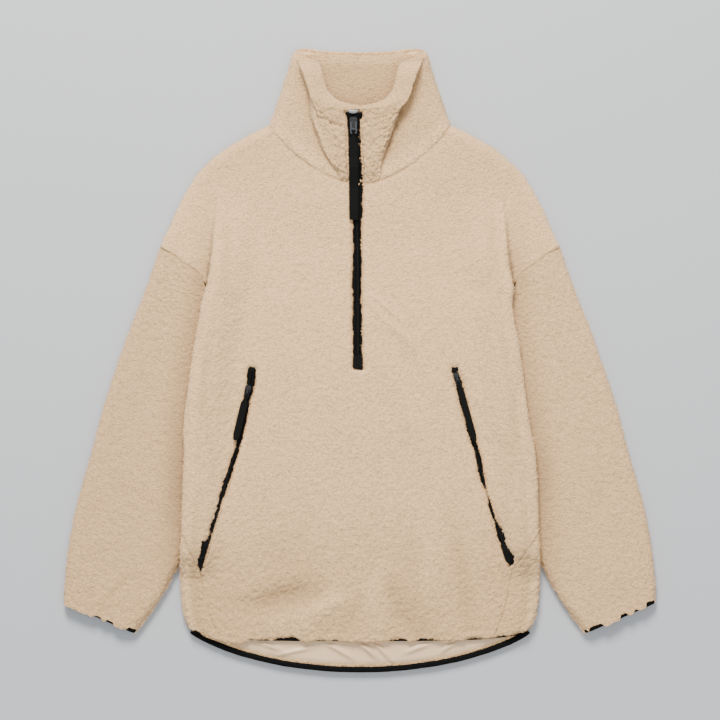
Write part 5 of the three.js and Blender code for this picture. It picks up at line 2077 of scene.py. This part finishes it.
@dataclass
class Zips:
    """Tapes, coils, sliders, pulls and patches of the three zips."""

    cut: Cut
    cloth: Wardrobe
    nodes: dict[str, bpy.types.Object]

    def height(self, x: Array, y: Array) -> Array:
        """Height of the cloth along the centre zip.

        Args:
            x: places across.
            y: levels.

        Returns:
            The height at each point.
        """
        c = self.cut
        seam = c.neck_y(x)
        h = clamp((y - seam) / (322 - seam))
        on_collar = lerp(c.top(0 * x, seam), Collar.levels.at(h, "front"), smooth(h / 0.1))
        return np.where(y <= seam, c.top(x, y), on_collar)

    def _tape(
        self, name: str, line: Array, z: Array, width: float | Array, node: str, tilt: float | Array = 0.0
    ) -> None:
        """A pair of tapes whose coils meet along a line.

        Args:
            name: the zip's name.
            line: plan points along the zip.
            z: its level at those points.
            width: its width, or one width for each point.
            node: the solid that it stands for.
            tilt: how much it rises for each millimetre across.
        """
        halves = np.outer([-1, -0.5, -0.46, 0.46, 0.5, 1], np.broadcast_to(width, len(line)) / 2)
        lifts = np.array([0, 0, 0.25, 0.25, 0, 0])
        rows = [np.column_stack([beside(line, o), z + o * tilt + lift]) for o, lift in zip(halves, lifts)]
        under = [np.column_stack([beside(line, o), z + o * tilt - 1.5]) for o in halves[::-1]]
        sections = np.stack(rows + under, axis=1)
        piece = Maker.sweep(f"{name}_tape", sections, self.cloth.tape)
        dress(piece, "garment", Slot.TAPE, node)

    def _coil(self, name: str, line: Array, z: Array, half: float, pitch: float) -> None:
        """Coil loops that cross the middle of a closed zip in turn.

        Args:
            name: the zip's name.
            line: plan points along the zip.
            z: level of its tapes at those points.
            half: how far a loop reaches to its side.
            pitch: distance between loops.
        """
        run = np.concatenate([[0], np.cumsum(np.linalg.norm(np.diff(line, axis=0), axis=1))])
        at = np.arange(pitch, run[-1] - pitch, pitch)
        centre = np.stack([np.interp(at, run, line[:, k]) for k in (0, 1)] + [np.interp(at, run, z)], axis=1)
        ahead = np.gradient(centre, axis=0)
        ahead /= np.linalg.norm(ahead, axis=1, keepdims=True)
        across = np.stack([-ahead[:, 1], ahead[:, 0], 0 * at], axis=1)
        turns = np.linspace(0, 2 * math.pi, 6, endpoint=False)
        stations = np.linspace(-0.32, 1, 5)
        faces, points = [], []
        for side in (-1, 1):
            base = centre + ahead * (pitch * 0.25 * side)
            for index in range(len(at)):
                start = len(points)
                for u in stations:
                    thick = pitch * 0.3 * (1 if -0.3 < u < 0.95 else 0.75)
                    lift = 0.95 - 0.5 * max(0.0, u) ** 2
                    spot = base[index] + across[index] * (side * half * u) + [0, 0, lift]
                    for a in turns:
                        points.append(spot + ahead[index] * math.cos(a) * thick + np.array([0, 0, math.sin(a) * thick]))
                for k in range(4):
                    for j in range(6):
                        a, b = start + k * 6 + j, start + k * 6 + (j + 1) % 6
                        faces.append([a, b, b + 6, a + 6])
                faces.append([start + j for j in range(6)][::-1])
                faces.append([start + 24 + j for j in range(6)])
        data = bpy.data.meshes.new(f"{name}_coil")
        data.from_pydata(np.array(points) * MM, [], faces)
        piece = Maker.place(data, f"{name}_coil", self.cloth.coil)
        dress(piece, "garment", Slot.TAPE)

    def _top_stop(self, x: float, z: float) -> None:
        """The pale turned end of the tape over the centre zip's top.

        Args:
            x: its middle across.
            z: level of the tape under it.
        """
        t = np.linspace(-1, 1, 15)
        centre = np.stack([x + 6.8 * t, 316.9 + 1.9 * t**2, z + 0.7 - 0.9 * t**2], axis=1)
        turns = np.linspace(0, 2 * math.pi, 10, endpoint=False)
        ends = np.sqrt(1 - 0.96 * t**6)[:, None]
        y = centre[:, 1:2] + ends * 2.3 * np.cos(turns)
        z = centre[:, 2:] + ends * 1.0 * np.sin(turns)
        sections = np.stack([centre[:, :1] + 0 * y, y, z], axis=-1)
        piece = Maker.sweep("centre_zip_turned_end", sections, self.cloth.satin)
        dress(piece, "garment", Slot.LINING)

    def build(self) -> None:
        """Makes the zips and finishes their metal and webbing."""
        c = self.cut
        y = np.linspace(c.zip_bottom + 0.4, 316.5, 120)
        line = np.stack([c.zip_x(y), y], axis=1)
        z = self.height(line[:, 0], y) - c.tape_sink
        left, right = c.slot.at(y, "left"), c.slot.at(y, "right")
        middle = np.stack([(left + right) / 2, y], axis=1)
        self._tape("centre_zip", middle, z + 2.6 * smooth((y - 304) / 12), right - left + 1.6, "centre_zip")
        self._top_stop(c.zip_x(np.array(318.5)), z[-1] + 3.2)
        self._coil("centre_zip", line, z, 2.5, 1.55)
        for pocket in c.pockets:
            s = np.linspace(0.003, 0.997, 90)
            line = pocket.point(s)
            z = c.top(line[:, 0], line[:, 1]) - c.tape_sink
            s[0] = -0.016
            left, right = pocket.slot.at(s, "left"), pocket.slot.at(s, "right")
            middle = beside(pocket.point(s), (left + right) / 2)
            sides = [c.top(*beside(middle, offset).T) for offset in (-5, 5)]
            tilt = (sides[1] - sides[0]) / 10
            level = (sides[0] + sides[1]) / 2 - c.tape_sink
            name = f"{pocket.name}_pocket_zip"
            self._tape(name, middle, level, right - left + 3.4, name, tilt)
            self._coil(f"{pocket.name}_pocket_zip", line, z, 2.0, 1.35)
        for name, node in self.nodes.items():
            if name.endswith("_slider"):
                self._dress_solid(node, self.cloth.black_metal, 0.5)
            elif name.endswith("_pull"):
                pull = self.cloth.metal if name.startswith("centre") else self.cloth.dark_metal
                self._dress_solid(node, pull, 0.3)
            elif name.endswith("_puller"):
                self._dress_solid(node, self.cloth.webbing, 0.3)
            elif name.endswith(("_patch", "_bartack")):
                self._dress_solid(node, self.cloth.webbing, 0.3)
        LOG.info("zips made")

    @staticmethod
    def _dress_solid(node: bpy.types.Object, material: bpy.types.Material, edge: float) -> None:
        """Softens a hard piece's edges and gives it its finish.

        Args:
            node: the solid's object.
            material: its finish.
            edge: width of the softened edges in millimetres.
        """
        node.data.materials.clear()
        node.data.materials.append(material)
        soft = node.modifiers.new("soft_edges", "BEVEL")
        soft.width = edge * MM
        soft.segments = 2
        soft.limit_method = "ANGLE"
        soft.angle_limit = math.radians(40)


@dataclass
class Studio:
    """Camera, floor and lights."""

    frame_width: float = 0.9216
    distance: float = 2.8
    plane: float = 0.016
    middle_y: float = 0.0019

    def build(self) -> None:
        """Sets the camera straight above, a pale floor and soft lights."""
        data = bpy.data.cameras.new("camera")
        data.sensor_width = 36
        data.lens = 36 * self.distance / self.frame_width
        data.clip_end = 20
        camera = bpy.data.objects.new("camera", data)
        camera.location = (0, self.middle_y, self.plane + self.distance)
        bpy.context.scene.collection.objects.link(camera)
        bpy.context.scene.camera = camera
        g, body, floor = shader("pale_floor", Roughness=0.9)
        body.inputs["Base Color"].default_value = (0.385, 0.40, 0.42, 1)
        size = 6.0
        low = -0.0006
        corners = [(-size, -size, low), (size, -size, low), (size, size, low), (-size, size, low)]
        mesh = bpy.data.meshes.new("floor")
        mesh.from_pydata(corners, [], [(0, 1, 2, 3)])
        Maker.place(mesh, "floor", floor, soft=False)
        self._lamp("key", (-0.35, 2.3, 2.0), 1.1, 240)
        self._lamp("fill", (0.6, -1.0, 2.8), 2.4, 45)
        world = bpy.data.worlds.new("studio")
        world.use_nodes = True
        world.node_tree.nodes["Background"].inputs[0].default_value = (0.9, 0.95, 1.0, 1)
        world.node_tree.nodes["Background"].inputs[1].default_value = 0.85
        bpy.context.scene.world = world

    @staticmethod
    def _lamp(name: str, place: tuple[float, float, float], size: float, power: float) -> None:
        """A square soft light that faces the garment.

        Args:
            name: its name.
            place: where it hangs, in metres.
            size: its side in metres.
            power: its power in watts.
        """
        data = bpy.data.lights.new(name, "AREA")
        data.size = size
        data.energy = power
        data.color = (1.0, 0.955, 0.90)
        lamp = bpy.data.objects.new(name, data)
        lamp.location = place
        lamp.rotation_mode = "QUATERNION"
        lamp.rotation_quaternion = (-Vector(place)).to_track_quat("-Z", "Y")
        bpy.context.scene.collection.objects.link(lamp)


def main() -> None:
    """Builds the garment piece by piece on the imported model."""
    logging.basicConfig(level=logging.INFO, format="%(name)s: %(message)s")
    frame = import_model()
    Studio().build()
    cloth, cut = Wardrobe(), Cut()
    Body(cut, cloth).build()
    for side in (-1, 1):
        Sleeve(cut, cloth, side).build()
    Collar(cut, cloth).build()
    Lining(cut, cloth).build()
    Bindings(cut, cloth).build()
    zips = Zips(cut, cloth, frame["nodes"])
    zips.build()
    Fibres(cut, cloth).build(zips.height)


if __name__ == "__main__":
    main()
